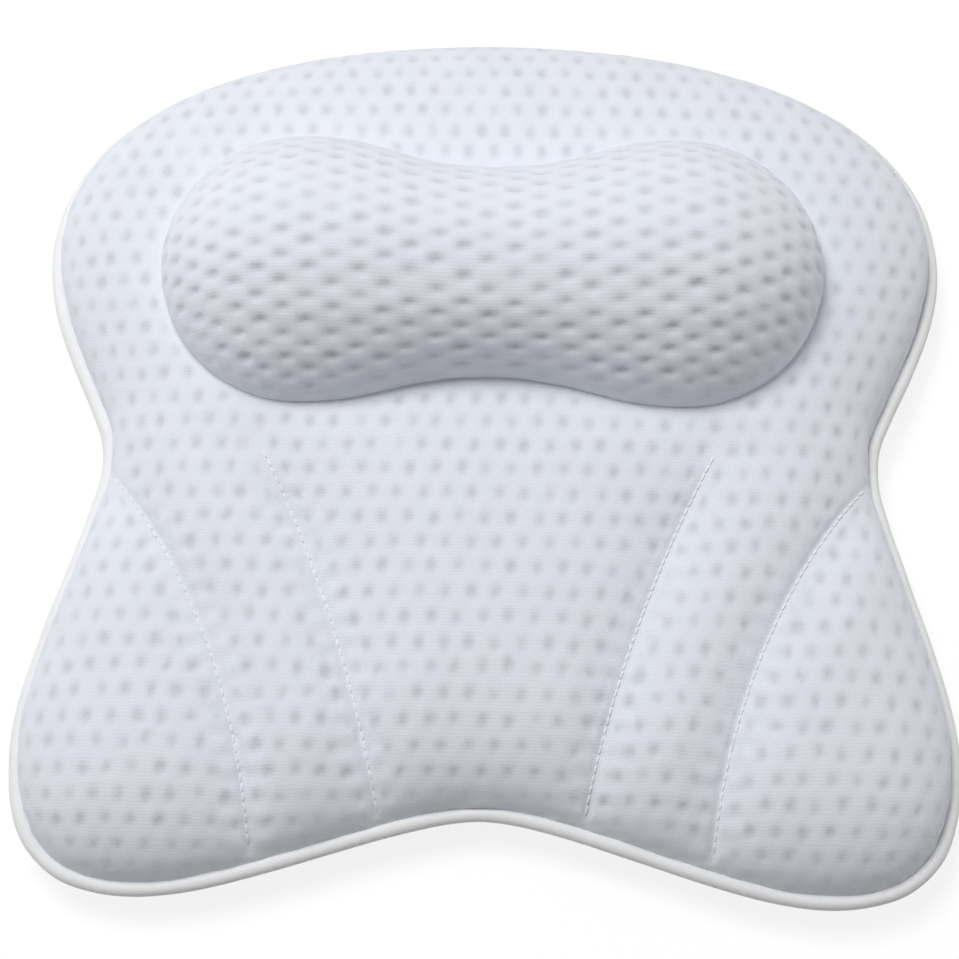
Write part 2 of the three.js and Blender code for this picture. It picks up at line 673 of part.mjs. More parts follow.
// A suction cup, standing on its lip round the Z axis.
function suctionCup() {
  const mouth = CUP_LIP_RADIUS - CUP_LIP_WIDTH;
  const cavity = CUP_HEIGHT - CUP_CROWN_THICKNESS;
  const inside = (radius) => cavity * (1 - Math.min(radius / mouth, 1) ** 2);
  const wall = (radius) => {
    return THREE.MathUtils.lerp(CUP_CROWN_THICKNESS, CUP_LIP_THICKNESS, radius / CUP_LIP_RADIUS);
  };
  const headTop = cupHeadBottom + CUP_HEAD_HEIGHT;
  const innerBell = even(BELL_STEPS).map((share) => {
    return new THREE.Vector2(mouth * share, inside(mouth * share));
  });
  const outerBell = even(BELL_STEPS).map((share) => {
    const radius = THREE.MathUtils.lerp(CUP_LIP_RADIUS, CUP_HUB_RADIUS, share);
    return new THREE.Vector2(radius, inside(radius) + wall(radius));
  });
  const profile = [
    ...innerBell,
    new THREE.Vector2(CUP_LIP_RADIUS, 0),
    ...outerBell,
    new THREE.Vector2(CUP_HUB_RADIUS, CUP_HEIGHT),
    new THREE.Vector2(CUP_NECK_RADIUS, CUP_HEIGHT),
    new THREE.Vector2(CUP_NECK_RADIUS, cupHeadBottom),
    new THREE.Vector2(CUP_HEAD_RADIUS, cupHeadBottom),
    new THREE.Vector2(CUP_HEAD_RADIUS, cupHeadBottom + CUP_HEAD_RIM),
    new THREE.Vector2(0, headTop),
  ];
  const lathe = new THREE.LatheGeometry(profile, ROUND_STEPS);
  return closedGeometry(lathe.rotateX(Math.PI / 2));
}

addPiece("face_cover", faceCover(), FACE_WHITE);
addPiece("neck_roll_cover", neckRollCover(), FACE_WHITE);
addPiece("neck_roll_core", neckRollCore(), FOAM_CREAM);
addBatts();
addPiece("base_foam", baseFoam(), FOAM_CREAM);
addPiece("back_cover", backCover(), FACE_WHITE);
addPiece("piping_tape", pipingTape(), TAPE_WHITE);
addPiece("piping_cord", pipingCord(), FIBRE_WHITE);
for (const { name, place } of cups) {
  addPiece("cup_patch_" + name, cupPatch(place), TAPE_WHITE);
  const cup = addPiece("suction_cup_" + name, suctionCup(), CUP_CLEAR);
  cup.position.set(place.x, place.y, 0);
}

export default root;
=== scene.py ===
"""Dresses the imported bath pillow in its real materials: a quilted pad and a neck roll of air mesh,
a piped edge, a back panel with sewn patches, and the suction cups that turn in it.

Everything is in metres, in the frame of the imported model: face up, head end towards +Y."""

import math
from contextlib import contextmanager

import bmesh
import bpy
import numpy as np
from bpy.props import FloatProperty, FloatVectorProperty, IntProperty, PointerProperty
from mathutils import Matrix, Vector
from mathutils.bvhtree import BVHTree
from mathutils.kdtree import KDTree


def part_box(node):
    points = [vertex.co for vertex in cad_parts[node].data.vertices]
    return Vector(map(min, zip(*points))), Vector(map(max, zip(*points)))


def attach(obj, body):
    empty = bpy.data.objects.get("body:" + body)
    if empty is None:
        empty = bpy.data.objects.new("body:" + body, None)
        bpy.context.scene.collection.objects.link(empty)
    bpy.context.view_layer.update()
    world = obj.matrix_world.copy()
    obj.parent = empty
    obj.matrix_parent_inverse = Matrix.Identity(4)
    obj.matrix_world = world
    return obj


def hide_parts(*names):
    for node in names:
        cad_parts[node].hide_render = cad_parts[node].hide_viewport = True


bl_info = {
    "name": "Bath pillow",
    "version": (1, 0, 0),
    "blender": (4, 5, 0),
    "location": "3D View > Sidebar > Bath pillow",
    "description": "Builds the padded, sewn and moulded pieces of a bath pillow round its packed model",
    "category": "Object",
}

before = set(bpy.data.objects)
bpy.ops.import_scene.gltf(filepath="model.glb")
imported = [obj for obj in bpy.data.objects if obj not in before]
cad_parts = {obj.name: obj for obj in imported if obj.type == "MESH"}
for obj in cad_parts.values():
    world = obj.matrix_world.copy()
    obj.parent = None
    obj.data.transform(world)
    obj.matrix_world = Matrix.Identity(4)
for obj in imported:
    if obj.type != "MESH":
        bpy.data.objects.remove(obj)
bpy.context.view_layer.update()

BATTS = tuple(f"{panel}_batt" for panel in "head centre left_band right_band left_wing right_wing".split())
CUPS = ("head_left", "head_right", "waist_left", "waist_right", "wing_left", "wing_right")

# Points, and levels, closer than these are one, and a face whose normal rises past the last looks up.
SAME_POINT = 1e-6
SAME_LEVEL = 1e-5
LOOKING_UP = 0.5

# Spacing of the points of outlines, and counts of points on curves, sections and rings.
OUTLINE_SPACING = 0.002
FINE_SPACING = 0.0005
LOOP_STEPS = 24
SEAM_STEPS = 160
SECTION_STEPS = 600
HEM_SECTION_STEPS = 60
ROLL_SECTION_STEPS = 500
BELL_STEPS = 12
EYELET_STEPS = 24
PATCH_STEPS = 48

# Sections of the solids that the soft pieces start from, and of the cups' bells.
SOLID_SHOULDER = 0.062
SOLID_FULLNESS = 2.1
ROLL_LEAN = 0.72
BELL_FULLNESS = 2.2

# Chance in the dimples: a square table of draws, which repeats over the fabric.
SEED = 7
DRAWS = 128

# The cloth that is filled.
CLOTH_QUALITY = 6
CLOTH_MASS = 0.2
CLOTH_BENDING = 8.0

# Pad: where its face begins over the hem, how much of its underside is taken out, and where its grid
# is evened out.
FACE_LEVEL = 0.001
UNDERSIDE_LEVEL = 0.002
UNDERSIDE_EDGE = 0.006
EVENED_FROM = 0.008
PAD_EVENINGS = 3

# Pad: its side bulges less where it faces the foot end. Pairs say from where to where something fades
# in: by the way a side or a face looks, along a seam, or by the distance from a hem, seam or rim.
SIDE_BULGES = (-0.8, 0.2)
FOOT_BULGE = 0.1
FACE_LOOKS = (-0.2, 0.3)
CREASE_BEGINS = (0, 0.03)
OUTER_CREASE_START = 0.45
CREASE_FROM_HEM = (0.006, 0.016)
CREASE_REACH = 0.0022
PUCKER_LENGTH = 0.0105
PUCKER_OFFSET = 0.006
PUCKER_REACH = 0.005
DIMPLE_FROM_SEAM = (0.0015, 0.006)
DIMPLE_FROM_HEM = (0.008, 0.030)
DIMPLE_AT_HEM = 0.3
DIMPLE_FROM_RIM = (0.003, 0.010)

# Neck roll: its grid as a share of the pad's, what is pressed to its seam as a share of its grid, the
# height that is held, and the share of spare fabric that its ends take up. Its belly grows and fades
# between shares of its height, and its dimples fade in between heights over its seam.
ROLL_GRID = 0.8
ROLL_PRESSED = 0.7
ROLL_HELD = 0.002
ROLL_EVENINGS = 5
ROLL_END_EASE = 0.45
BELLY_GROWS = (0.1, 0.7)
BELLY_FADES = (0.7, 0.86)
ROLL_DIMPLE_RISE = (-0.002, 0.020)

# Piping: two long waves, the second one shifted, that sway its level and swell its radius, and the
# facets of a quarter of its section.
PIPING_WAVES = (0.031, 0.047)
PIPING_SHIFT = 1.3
PIPING_SWAY = 0.00012
PIPING_SWELL = 0.012
PIPING_ROUNDING = 5

# Back panel and patches: the panel's grid, the distances inside a patch's edge of its sewn groove and
# of the corners of its zigzag stitches, and the groove's depth as a share of the patch's soft edge.
PANEL_GRID = 0.0022
PATCH_GROOVE = (0.0050, 0.0030, 0.0010)
GROOVE_DEPTH = 0.6
ZIGZAG = (0.0042, 0.0014)
ZIGZAG_STITCHES = 44

# Thread: the distance from the hem within which no stitch of a seam begins, the height from which the
# pad is looked for, and in thread radii how far stitches stand out and how thick the patches' thread is.
UNSTITCHED = 0.006
OVER_ALL = 0.2
SEAM_THREAD_OUT = 0.4
PATCH_THREAD_OUT = 0.3
PATCH_THREAD = 0.8

# Stage: the side of the square picture in pixels, the camera's sensor in millimetres, the floor's size,
# and each light's name, side and place. The lights face one point over the middle of the floor.
PICTURE_SIDE = 959
SENSOR_WIDTH = 36.0
FLOOR_HALF = 3.0
FLOOR_CELLS = 8
LIGHTS = (
    ("key", 0.7, (-0.38, 0.58, 1.62)),
    ("left_light", 1.0, (-1.5, 0.1, 0.6)),
    ("right_light", 1.0, (1.5, 0.35, 0.6)),
)
LIT_POINT = (0, 0, 0.04)

# Stage: colours of the sky and of the floor's grain, as light and as the camera see it, with a glow that
# leaves only the shadow, and the distances between which the floor goes over to white.
WHITE = (1, 1, 1, 1)
SKY = (1, 0.985, 0.95, 1)
FLOOR_PALE = ((0.84, 0.84, 0.845, 1), (0.88, 0.88, 0.885, 1))
FLOOR_SHADED = ((0.22, 0.22, 0.22, 1), (0.23, 0.23, 0.23, 1))
FLOOR_GLOW = 0.83
FLOOR_WHITENS = (0.4, 1.2)


def number(name, description, default, **limits):
    """A number that a user may change."""
    return FloatProperty(name=name, description=description, default=default, **limits)


def size(name, description, default):
    """A length in metres that a user may change."""
    return number(name, description, default, min=0, subtype="DISTANCE", unit="LENGTH")


def share(name, description, default):
    """A share of a whole that a user may change."""
    return number(name, description, default, min=0, max=1, subtype="FACTOR")


def angle(name, description, degrees):
    """An angle that a user may change."""
    return number(name, description, math.radians(degrees), subtype="ANGLE", unit="ROTATION")


def count(name, description, default, least):
    """A whole number that a user may change."""
    return IntProperty(name=name, description=description, default=default, min=least)


def colour(name, description, default):
    """A colour that a user may change."""
    return FloatVectorProperty(
        name=name, description=description, default=default, size=3, min=0, max=1, subtype="COLOR"
    )


class AirMeshSettings(bpy.types.PropertyGroup):
    """The dimpled spacer mesh that covers the pillow."""

    pitch: size("Pitch", "Distance between the dimples of one row", 0.0114)
    row: size("Row", "Distance between neighbouring rows of dimples", 0.0113)
    width: size("Dimple width", "Reach of a dimple along its row, where most of its depth is gone", 0.0024)
    length: size("Dimple length", "Reach of a dimple across its row", 0.0032)
    depth: size("Dimple depth", "Depth of a dimple on the pad", 0.0008)
    roll_width: size("Roll dimple width", "Reach of a dimple on the neck roll along its row", 0.0025)
    roll_length: size("Roll dimple length", "Reach of a dimple on the neck roll across its row", 0.0036)
    roll_depth: size("Roll dimple depth", "Depth of a dimple on the neck roll", 0.00115)
    back_depth: size("Back dimple depth", "Depth of a dimple on the back panel", 0.0009)
    shift: size("Dimple shift", "How far chance moves a dimple each way", 0.0004)
    unevenness: share("Unevenness", "How much chance changes the depth of a dimple", 0.18)
    knit: size("Knit pitch", "Distance between the loops of the knit", 0.0015)
    ground: colour("Ground", "Colour of the knit between the dimples", (0.82, 0.85, 0.925))
    # The hollow colour is partly the inner layer showing through the dimples and partly painted shade in
    # their hollows.
    hollow: colour("Hollow", "Colour in the dimples, where the inner layer shows", (0.68, 0.705, 0.768))


class QuiltSettings(bpy.types.PropertyGroup):
    """How the pad and the neck roll are sewn and filled."""

    voxel: size("Cloth grid", "Grid of the cloth that is filled", 0.0045)
    pressure: number("Pressure", "Pressure of the filling on the cloth", 4, min=0)
    frames: count("Frames", "Steps of the cloth while it fills", 20, least=2)
    slack: share("Slack", "Share of the crown that is left for the filling to raise", 0.05)
    swell: size("Swell", "Furthest that the filling moves the pad's cloth", 0.004)
    roll_swell: size("Roll swell", "Furthest that the filling moves the roll's cloth", 0.005)
    outer_top_y: number("Outer seam top", "Where the outer seams leave the side hem", -0.020, unit="LENGTH")
    outer_hem_x: size("Outer seam hem", "Half distance of the outer seams at the lower hem", 0.099)
    outer_bow: size("Outer seam bow", "How far the outer seams bow to the middle", 0.021)
    inner_top_x: size("Inner seam top", "Half distance of the inner seams at their top", 0.103)
    inner_top_y: number("Inner seam level", "Where the inner seams start", -0.010, unit="LENGTH")
    inner_hem_x: size("Inner seam hem", "Half distance of the inner seams at the lower hem", 0.045)
    inner_bow: size("Inner seam bow", "How far the inner seams bow to the middle", 0.009)
    bend: share("Seam bend", "Share of a seam's length at which its bow begins", 0.3)
    shoulder: size("Shoulder", "Width of the pad's curve from the hem up to its crown", 0.058)
    bulge: size("Bulge", "How far the pad's side bulges out over the hem", 0.0015)
    bulge_level: size("Bulge level", "Height over the hem at which the pad's side bulges most", 0.009)
    channel: size("Channel", "Depth to which a seam draws the pad in", 0.009)
    channel_reach: size("Channel reach", "Distance from a seam to the pad's full height", 0.030)
    held: size("Held edge", "Width of the pad's edge that the piping holds in place", 0.015)
    seam_hold: size("Seam hold", "Distance from a seam within which the cloth is held", 0.0036)
    roll_hold: size("Roll hold", "Distance from the roll's seam within which the cloth is held", 0.004)
    edge_out: size("Edge", "How far the pad's edge is pressed out against the piping", 0.0012)
    edge_height: size("Edge height", "Height up to which the pad's edge is pressed out", 0.006)
    seam_fade: size("Seam fade", "Length over which an inner seam deepens from its top", 0.045)
    seam_start: share("Seam start", "Share of the full depth at the top of an inner seam", 0.35)
    crease: size("Crease", "Depth of the sharp crease along a seam", 0.0016)
    pucker: size("Pucker", "Height of the puckers beside a seam", 0.00025)
    roll_tuck: size("Roll tuck", "How far the roll's seam is tucked in under its bulge", 0.001)
    roll_bulge: size("Roll bulge", "Height of the roll's widest line over its seam", 0.003)
    roll_flank: size("Roll flank", "Width in plan of the roll's leaning sides", 0.036)
    roll_sink: size("Roll sink", "How far the roll's seam presses into the pad", 0.003)
    roll_inset: size("Roll inset", "How much smaller the roll is before it is filled", 0.0004)
    waist_tuck: size("Waist tuck", "How far the roll's waist is tucked in at its foot seam", 0.0014)
    waist_rise: size("Waist rise", "Height over the seam at which that tuck ends", 0.020)
    waist_belly: size("Waist belly", "How far the roll's waist is filled out over that", 0.0034)
    waist_width: size("Waist width", "Half width of the tuck and the belly", 0.062)


class TrimSettings(bpy.types.PropertyGroup):
    """Piping, patches and thread."""

    piping_radius: size("Piping radius", "Radius of the piping over its tape", 0.0034)
    piping_out: size("Piping overhang", "Distance of the piping's middle outside the hem", 0.0033)
    piping_lift: size("Piping lift", "How far the piping is pressed up against the pad", 0.0008)
    eyelet: size("Eyelet radius", "Radius of the holes that the cups' necks go through", 0.0046)
    stitch: size("Stitch", "Length of a stitch", 0.0039)
    stitch_pitch: size("Stitch pitch", "Distance from stitch to stitch", 0.0042)
    thread: size("Thread", "Radius of the thread", 0.0005)
    weave: size("Weave pitch", "Distance between the yarns of the tape", 0.0008)
    tape: colour("Tape", "Colour of the piping tape and the patches", (0.92, 0.925, 0.945))
    yarn: colour("Yarn", "Colour of the sewing thread", (0.92, 0.925, 0.94))


class CupSettings(bpy.types.PropertyGroup):
    """The moulded suction cups."""

    vinyl: colour("Vinyl", "Tint of the clear vinyl", (0.80, 0.86, 0.90))
    clearness: share("Clearness", "How much light passes through the vinyl", 0.75)
    steps: count("Steps", "Facets round a cup", 64, least=12)
    hollow: size("Hollow", "Height of the hollow under the bell", 0.0103)
    wall: size("Wall", "Thickness of the bell, measured upwards", 0.0034)
    lip: size("Lip", "Width of the lip that seals on the tub", 0.0028)
    hub: size("Hub radius", "Radius of the hub on top of the bell", 0.0090)
    hub_level: size("Hub level", "Height of the hub's top", 0.0140)
    neck: size("Neck radius", "Radius of the neck that turns in the eyelet", 0.0040)
    head: size("Head radius", "Radius of the head that is buttoned through the eyelet", 0.0075)
    head_level: size("Head level", "Height of the head's underside", 0.0191)
    corner: size("Corner", "Size of the cup's moulded corners", 0.0004)


class StageSettings(bpy.types.PropertyGroup):
    """Camera, floor and light."""

    azimuth: angle("Azimuth", "Turn of the camera from the foot end towards the right", 3.99)
    elevation: angle("Elevation", "Height of the camera over the floor", 72)
    roll: angle("Roll", "Turn of the camera about its own view", -2.92)
    distance: size("Distance", "From the camera to the point it looks at", 0.8901)
    target: FloatVectorProperty(
        name="Target",
        description="Point that the camera looks at",
        default=(-0.0041, -0.01635, 0.020),
        size=3,
        subtype="XYZ",
        unit="LENGTH",
    )
    focus: number("Focal length", "Focal length in pixels of the square picture", 1926.7, min=1)
    key: number("Key light", "Power of the large light over the head end", 19.7, min=0)
    left_light: number("Left light", "Power of the low light on the left", 3.6, min=0)
    right_light: number("Right light", "Power of the low light on the right", 3.7, min=0)
    fill: number("Sky", "Strength of the light from all round", 0.21, min=0)


class BathPillowSettings(bpy.types.PropertyGroup):
    """All that can be set on the bath pillow."""

    mesh: PointerProperty(type=AirMeshSettings)
    quilt: PointerProperty(type=QuiltSettings)
    trim: PointerProperty(type=TrimSettings)
    cups: PointerProperty(type=CupSettings)
    stage: PointerProperty(type=StageSettings)


class Value:
    """A socket of a shader. Used in an expression, it adds the Math nodes for it."""

    def __init__(self, shader, socket):
        self.shader = shader
        self.socket = socket

    def maths(self, operation, *operands):
        return self.shader.node("Math", dict(enumerate(operands)), operation=operation)

    def __add__(self, other):
        return self.maths("ADD", self, other)

    def __sub__(self, other):
        return self.maths("SUBTRACT", self, other)

    def __rsub__(self, other):
        return self.maths("SUBTRACT", other, self)

    def __mul__(self, other):
        return self.maths("MULTIPLY", self, other)

    __radd__ = __add__
    __rmul__ = __mul__

    def sine(self):
        return self.maths("SINE", self)

    def most(self, other):
        return self.maths("MAXIMUM", self, other)

    def fold(self, width):
        """Goes up to a width and back again, over and over."""
        return self.maths("PINGPONG", self, width)


class Shader:
    """The nodes of a material or a world."""

    def __init__(self, owner):
        owner.use_nodes = True
        self.owner = owner
        self.tree = owner.node_tree
        self.tree.nodes.clear()

    def node(self, kind, inputs=(), output=0, **settings):
        """Adds a node: its settings first, then its sockets' values or links. Gives one output."""
        made = self.tree.nodes.new("ShaderNode" + kind)
        for key, setting in settings.items():
            setattr(made, key, setting)
        for key, given in dict(inputs).items():
            if isinstance(given, Value):
                self.tree.links.new(given.socket, made.inputs[key])
            else:
                made.inputs[key].default_value = given
        return Value(self, made.outputs[output]) if len(made.outputs) else None

    def attribute(self, name, output):
        return self.node("Attribute", output=output, attribute_name=name)

    def fabric_axes(self):
        """The fabric's own coordinates, across it and along it."""
        fabric = self.attribute("fabric", "Vector")
        return [self.node("SeparateXYZ", {0: fabric}, output=axis) for axis in "XY"]

    def mixed(self, factor, low, high):
        """A colour between two others."""
        return self.node("Mix", {"Factor": factor, 6: low, 7: high}, output=2, data_type="RGBA")

    def varied(self, noise, tint, low, high):
        """A tint that a noise makes a little darker and brighter."""
        return self.mixed(noise, rgba(tint, low), rgba(tint, high))

    def bump(self, height, distance, strength):
        return self.node("Bump", {"Height": height, "Distance": distance, "Strength": strength})

    def noise(self, scale):
        places = self.node("TexCoord", output="Object")
        return self.node("TexNoise", {"Vector": places, "Scale": scale, "Detail": 3})

    def surface(self, shader, end="OutputMaterial"):
        """Ends the nodes in a surface, and gives the material or world."""
        self.node(end, {"Surface": shader})
        return self.owner

    def finish(self, sockets):
        """Ends the nodes in one principled surface with these sockets."""
        return self.surface(self.node("BsdfPrincipled", sockets))


def rgba(tint, strength=1.0):
    """A colour with its fourth number, made brighter or darker."""
    return (*(min(part * strength, 1.0) for part in tint), 1.0)


def knitted_air_mesh(settings):
    """Knitted spacer mesh: loops between the dimples, darker in the dimples, partly where the inner layer
    shows and partly as painted shade in the hollows.
    """
    shader = Shader(bpy.data.materials.new("knitted_air_mesh"))
    across, along = shader.fabric_axes()
    dimple = shader.attribute("dimple", "Fac")
    turn = 2 * math.pi / settings.knit
    fold = across.fold(settings.knit / 2)
    loops = ((along + fold) * turn).sine() * (fold * (turn / 2)).sine()
    fuzz = shader.noise(scale=900)
    ground = shader.varied(shader.noise(scale=45), settings.ground, low=0.97, high=1.03)
    between_loops = loops * 0.03 + 0.015
    return shader.finish(
        {
            # The dimple depth mixes in the hollow colour: the inner layer, and painted shade in the
            # hollows.
            "Base Color": shader.mixed(dimple + between_loops, ground, rgba(settings.hollow)),
            "Roughness": 0.92 - fuzz * 0.12,
            "Normal": shader.bump(loops * 0.5 + fuzz, distance=0.0004, strength=0.24),
            "Specular IOR Level": 0.25,
            "Sheen Weight": 0.15,
            "Sheen Roughness": 0.6,
        }
    )


def woven_tape(settings):
    """Plain woven tape of the piping and the patches."""
    shader = Shader(bpy.data.materials.new("woven_tape"))
    across, along = shader.fabric_axes()
    turn = math.pi / settings.weave
    yarns = ((across + along) * turn).sine() * ((across - along) * turn).sine()
    fuzz = shader.noise(scale=1200)
    ground = shader.varied(shader.noise(scale=60), settings.tape, low=0.95, high=1.03)
    between_yarns = yarns * 0.12 + 0.12
    return shader.finish(
        {
            "Base Color": shader.mixed(between_yarns, ground, rgba(settings.tape, 0.85)),
            "Roughness": 0.85 - fuzz * 0.15,
            "Normal": shader.bump(yarns * 0.5 + fuzz, distance=0.0002, strength=0.5),
            "Specular IOR Level": 0.3,
            "Sheen Weight": 0.1,
        }
    )


def sewing_thread(settings):
    """Spun polyester thread with a soft lustre."""
    shader = Shader(bpy.data.materials.new("sewing_thread"))
    fuzz = shader.noise(scale=1500)
    return shader.finish(
        {
            "Base Color": shader.varied(fuzz, settings.yarn, low=0.92, high=1.04),
            "Roughness": 0.65 - fuzz * 0.15,
            "Normal": shader.bump(fuzz, distance=0.0002, strength=0.4),
        }
    )


def moulded_vinyl(settings):
    """Soft clear vinyl, a little cloudy, with a moulded gloss."""
    shader = Shader(bpy.data.materials.new("moulded_vinyl"))
    haze = shader.noise(scale=70)
    return shader.finish(
        {
            "Base Color": shader.varied(haze, settings.vinyl, low=0.96, high=1.03),
            "Roughness": haze * 0.12 + 0.12,
            "Normal": shader.bump(shader.noise(scale=700), distance=0.0001, strength=0.15),
            "IOR": 1.49,
            "Transmission Weight": settings.clearness,
        }
    )


def studio_floor():
    """A pale floor that the camera sees as white, apart from the soft shadow on it."""
    shader = Shader(bpy.data.materials.new("studio_floor"))
    grain = shader.noise(scale=30)
    matt = shader.node("BsdfDiffuse", {"Color": shader.mixed(grain, *FLOOR_PALE)})
    shadow = shader.node("BsdfDiffuse", {"Color": shader.mixed(grain, *FLOOR_SHADED)})
    glow = shader.node("Emission", {"Color": WHITE, "Strength": FLOOR_GLOW})
    near = shader.node("AddShader", {0: shadow, 1: glow})
    white = shader.node("Emission", {"Color": WHITE, "Strength": 1})
    places = shader.node("TexCoord", output="Object")
    reach = shader.node("VectorMath", {0: places}, output="Value", operation="LENGTH")
    start, end = FLOOR_WHITENS
    away = shader.node(
        "MapRange", {"Value": reach, "From Min": start, "From Max": end}, interpolation_type="SMOOTHSTEP"
    )
    seen = shader.node("MixShader", {0: away, 1: near, 2: white})
    lit = shader.node("MixShader", {0: seen_ray(shader), 1: matt, 2: seen})
    clear = shader.node("BsdfTransparent")
    below = shader.node("NewGeometry", output="Backfacing")
    return shader.surface(shader.node("MixShader", {0: below, 1: lit, 2: clear}))


def seen_ray(shader):
    """1 where a ray comes from the camera, straight, mirrored or through something clear."""
    camera, glossy, through = (
        shader.node("LightPath", output=f"Is {kind} Ray") for kind in ("Camera", "Glossy", "Transmission")
    )
    return camera.most(glossy).most(through)


def shared_finish(make, settings):
    """A finish that several pieces share, made when it is first asked for."""
    return bpy.data.materials.get(make.__name__) or make(settings)


def smoothstep(low, high, values):
    """Goes smoothly from 0 at the low value to 1 at the high one."""
    part = np.clip((values - low) / (high - low), 0, 1)
    return part * part * (3 - 2 * part)


def run_along(points):
    """The length along a row of points, up to each of them."""
    return np.concatenate([[0], np.cumsum(np.linalg.norm(np.diff(points, axis=0), axis=1))])


def at_marks(points, run, marks):
    """The places at some lengths along a row of points."""
    return np.column_stack([np.interp(marks, run, points[:, axis]) for axis in (0, 1)])


def plan_area(loop):
    """The area of a closed loop in plan, below zero where it runs clockwise."""
    onward = np.roll(loop, -1, 0)
    return 0.5 * np.sum(loop[:, 0] * onward[:, 1] - loop[:, 1] * onward[:, 0])


def even_loop(knots, spacing):
    """A smooth closed row of plan points through the knots, evenly spaced and counterclockwise."""
    knots = knots if plan_area(knots) > 0 else knots[::-1]
    ahead = np.roll(knots, -1, 0) - knots
    span = np.linalg.norm(ahead, axis=1)[:, None]
    pace = ahead / span
    before = np.roll(span, 1, 0)
    slope = (pace * before + np.roll(pace, 1, 0) * span) / (span + before)
    t = np.linspace(0, 1, LOOP_STEPS, endpoint=False)[None, :, None]
    start, end = knots[:, None], np.roll(knots, -1, 0)[:, None]
    leave, reach = (slope * span)[:, None], (np.roll(slope, -1, 0) * span)[:, None]
    dense = (
        (2 * t**3 - 3 * t**2 + 1) * start
        + (t**3 - 2 * t**2 + t) * leave
        + (3 * t**2 - 2 * t**3) * end
        + (t**3 - t**2) * reach
    ).reshape(-1, 2)
    dense = np.vstack([dense, dense[:1]])
    run = run_along(dense)
    return at_marks(dense, run, np.linspace(0, run[-1], round(run[-1] / spacing), endpoint=False))


def outward_normals(loop):
    """The plan directions that point out of a counterclockwise loop."""
    way = np.roll(loop, -1, 0) - np.roll(loop, 1, 0)
    way /= np.linalg.norm(way, axis=1)[:, None]
    return np.column_stack([way[:, 1], -way[:, 0]])


def nearest(points, places):
    """For each place, the index of the nearest of the points in plan, and the distance to it."""
    tree = KDTree(len(points))
    for index, (x, y) in enumerate(points):
        tree.insert((x, y, 0), index)
    tree.balance()
    found = [tree.find((x, y, 0))[1:] for x, y in places[:, :2]]
    return np.array([index for index, _ in found]), np.array([distance for _, distance in found])


def inside(loop, places):
    """Whether each place lies inside a closed loop in plan."""
    within = np.zeros(len(places), bool)
    x, y = places[:, 0], places[:, 1]
    for (x0, y0), (x1, y1) in zip(loop, np.roll(loop, -1, 0)):
        if y0 != y1:
            within ^= ((y0 > y) != (y1 > y)) & (x < x0 + (y - y0) * (x1 - x0) / (y1 - y0))
    return within


def bezier(corners, steps):
    """Evenly stepped points of a cubic curve."""
    t = np.linspace(0, 1, steps)[:, None]
    a, b, c, d = (np.array(corner) for corner in corners)
    return (1 - t) ** 3 * a + 3 * t * (1 - t) ** 2 * b + 3 * t**2 * (1 - t) * c + t**3 * d


def round_place(node):
    """The middle of a round node in plan, and its radius."""
    low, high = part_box(node)
    return ((low[0] + high[0]) / 2, (low[1] + high[1]) / 2), (high[0] - low[0]) / 2


def merged_copy(node):
    """A bmesh of a CAD node, with its loose triangles joined."""
    form = bmesh.new()
    form.from_mesh(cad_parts[node].data)
    bmesh.ops.remove_doubles(form, verts=form.verts, dist=SAME_POINT)
    return form


def chosen(items, wanted):
    """The vertices or faces of a form for which a row of truths holds."""
    items.ensure_lookup_table()
    return [items[i] for i in np.flatnonzero(wanted)]


def boundary_loops(form):
    """The open edges of a form, as rings of vertices in order."""
    form.edges.ensure_lookup_table()
    left = {edge.index: edge for edge in form.edges if edge.is_boundary}
    loops = []
    while left:
        edge = left.pop(min(left))
        loop = list(edge.verts)
        while True:
            onward = [e for e in loop[-1].link_edges if e.index in left]
            if not onward:
                break
            edge = left.pop(onward[0].index)
            loop.append(edge.other_vert(loop[-1]))
        loops.append(loop[:-1] if loop[-1] is loop[0] else loop)
    return loops


def longest_loop(form):
    """The longest of a form's open edges, in plan."""
    return np.array([vertex.co.xy for vertex in max(boundary_loops(form), key=len)])


def hem_outline(spacing=OUTLINE_SPACING):
    """The outline of the pillow at its hem, from the back cover's solid."""
    form = merged_copy("back_cover")
    others = [face for face in form.faces if face.normal.z < LOOKING_UP]
    bmesh.ops.delete(form, geom=others, context="FACES")
    outline = even_loop(longest_loop(form), spacing)
    form.free()
    return outline


def outer_form(node):
    """The outside of a hollow cover as a form, and the loop of its open underside."""
    form = merged_copy(node)
    floor = min(v.co.z for v in form.verts)
    rim = [f for f in form.faces if all(v.co.z - floor < SAME_LEVEL for v in f.verts)]
    bmesh.ops.delete(form, geom=rim, context="FACES")
    reached = {max(form.verts, key=lambda v: v.co.z)}
    edge_of_reach = list(reached)
    while edge_of_reach:
        vertex = edge_of_reach.pop()
        for edge in vertex.link_edges:
            other = edge.other_vert(vertex)
            if other not in reached:
                reached.add(other)
                edge_of_reach.append(other)
    bmesh.ops.delete(form, geom=[v for v in form.verts if v not in reached], context="VERTS")
    return form, longest_loop(form)


def close_underside(form):
    """Fills the open loop of a form."""
    bmesh.ops.triangle_fill(form, use_beauty=True, edges=[e for e in form.edges if e.is_boundary])
    bmesh.ops.recalc_face_normals(form, faces=form.faces)


def spun(profile, middle, steps):
    """A form turned about a vertical line through a place, from a row of (radius, level) points."""
    form = bmesh.new()
    corners = [form.verts.new((radius, 0, level)) for radius, level in profile]
    edges = [form.edges.new(pair) for pair in zip(corners, corners[1:])]
    bmesh.ops.spin(
        form,
        geom=corners + edges,
        axis=(0, 0, 1),
        cent=(0, 0, 0),
        angle=2 * math.pi,
        steps=steps,
        use_merge=True,
    )
    bmesh.ops.remove_doubles(form, verts=form.verts, dist=SAME_POINT)
    bmesh.ops.recalc_face_normals(form, faces=form.faces)
    bmesh.ops.translate(form, verts=form.verts, vec=(*middle, 0))
    return form


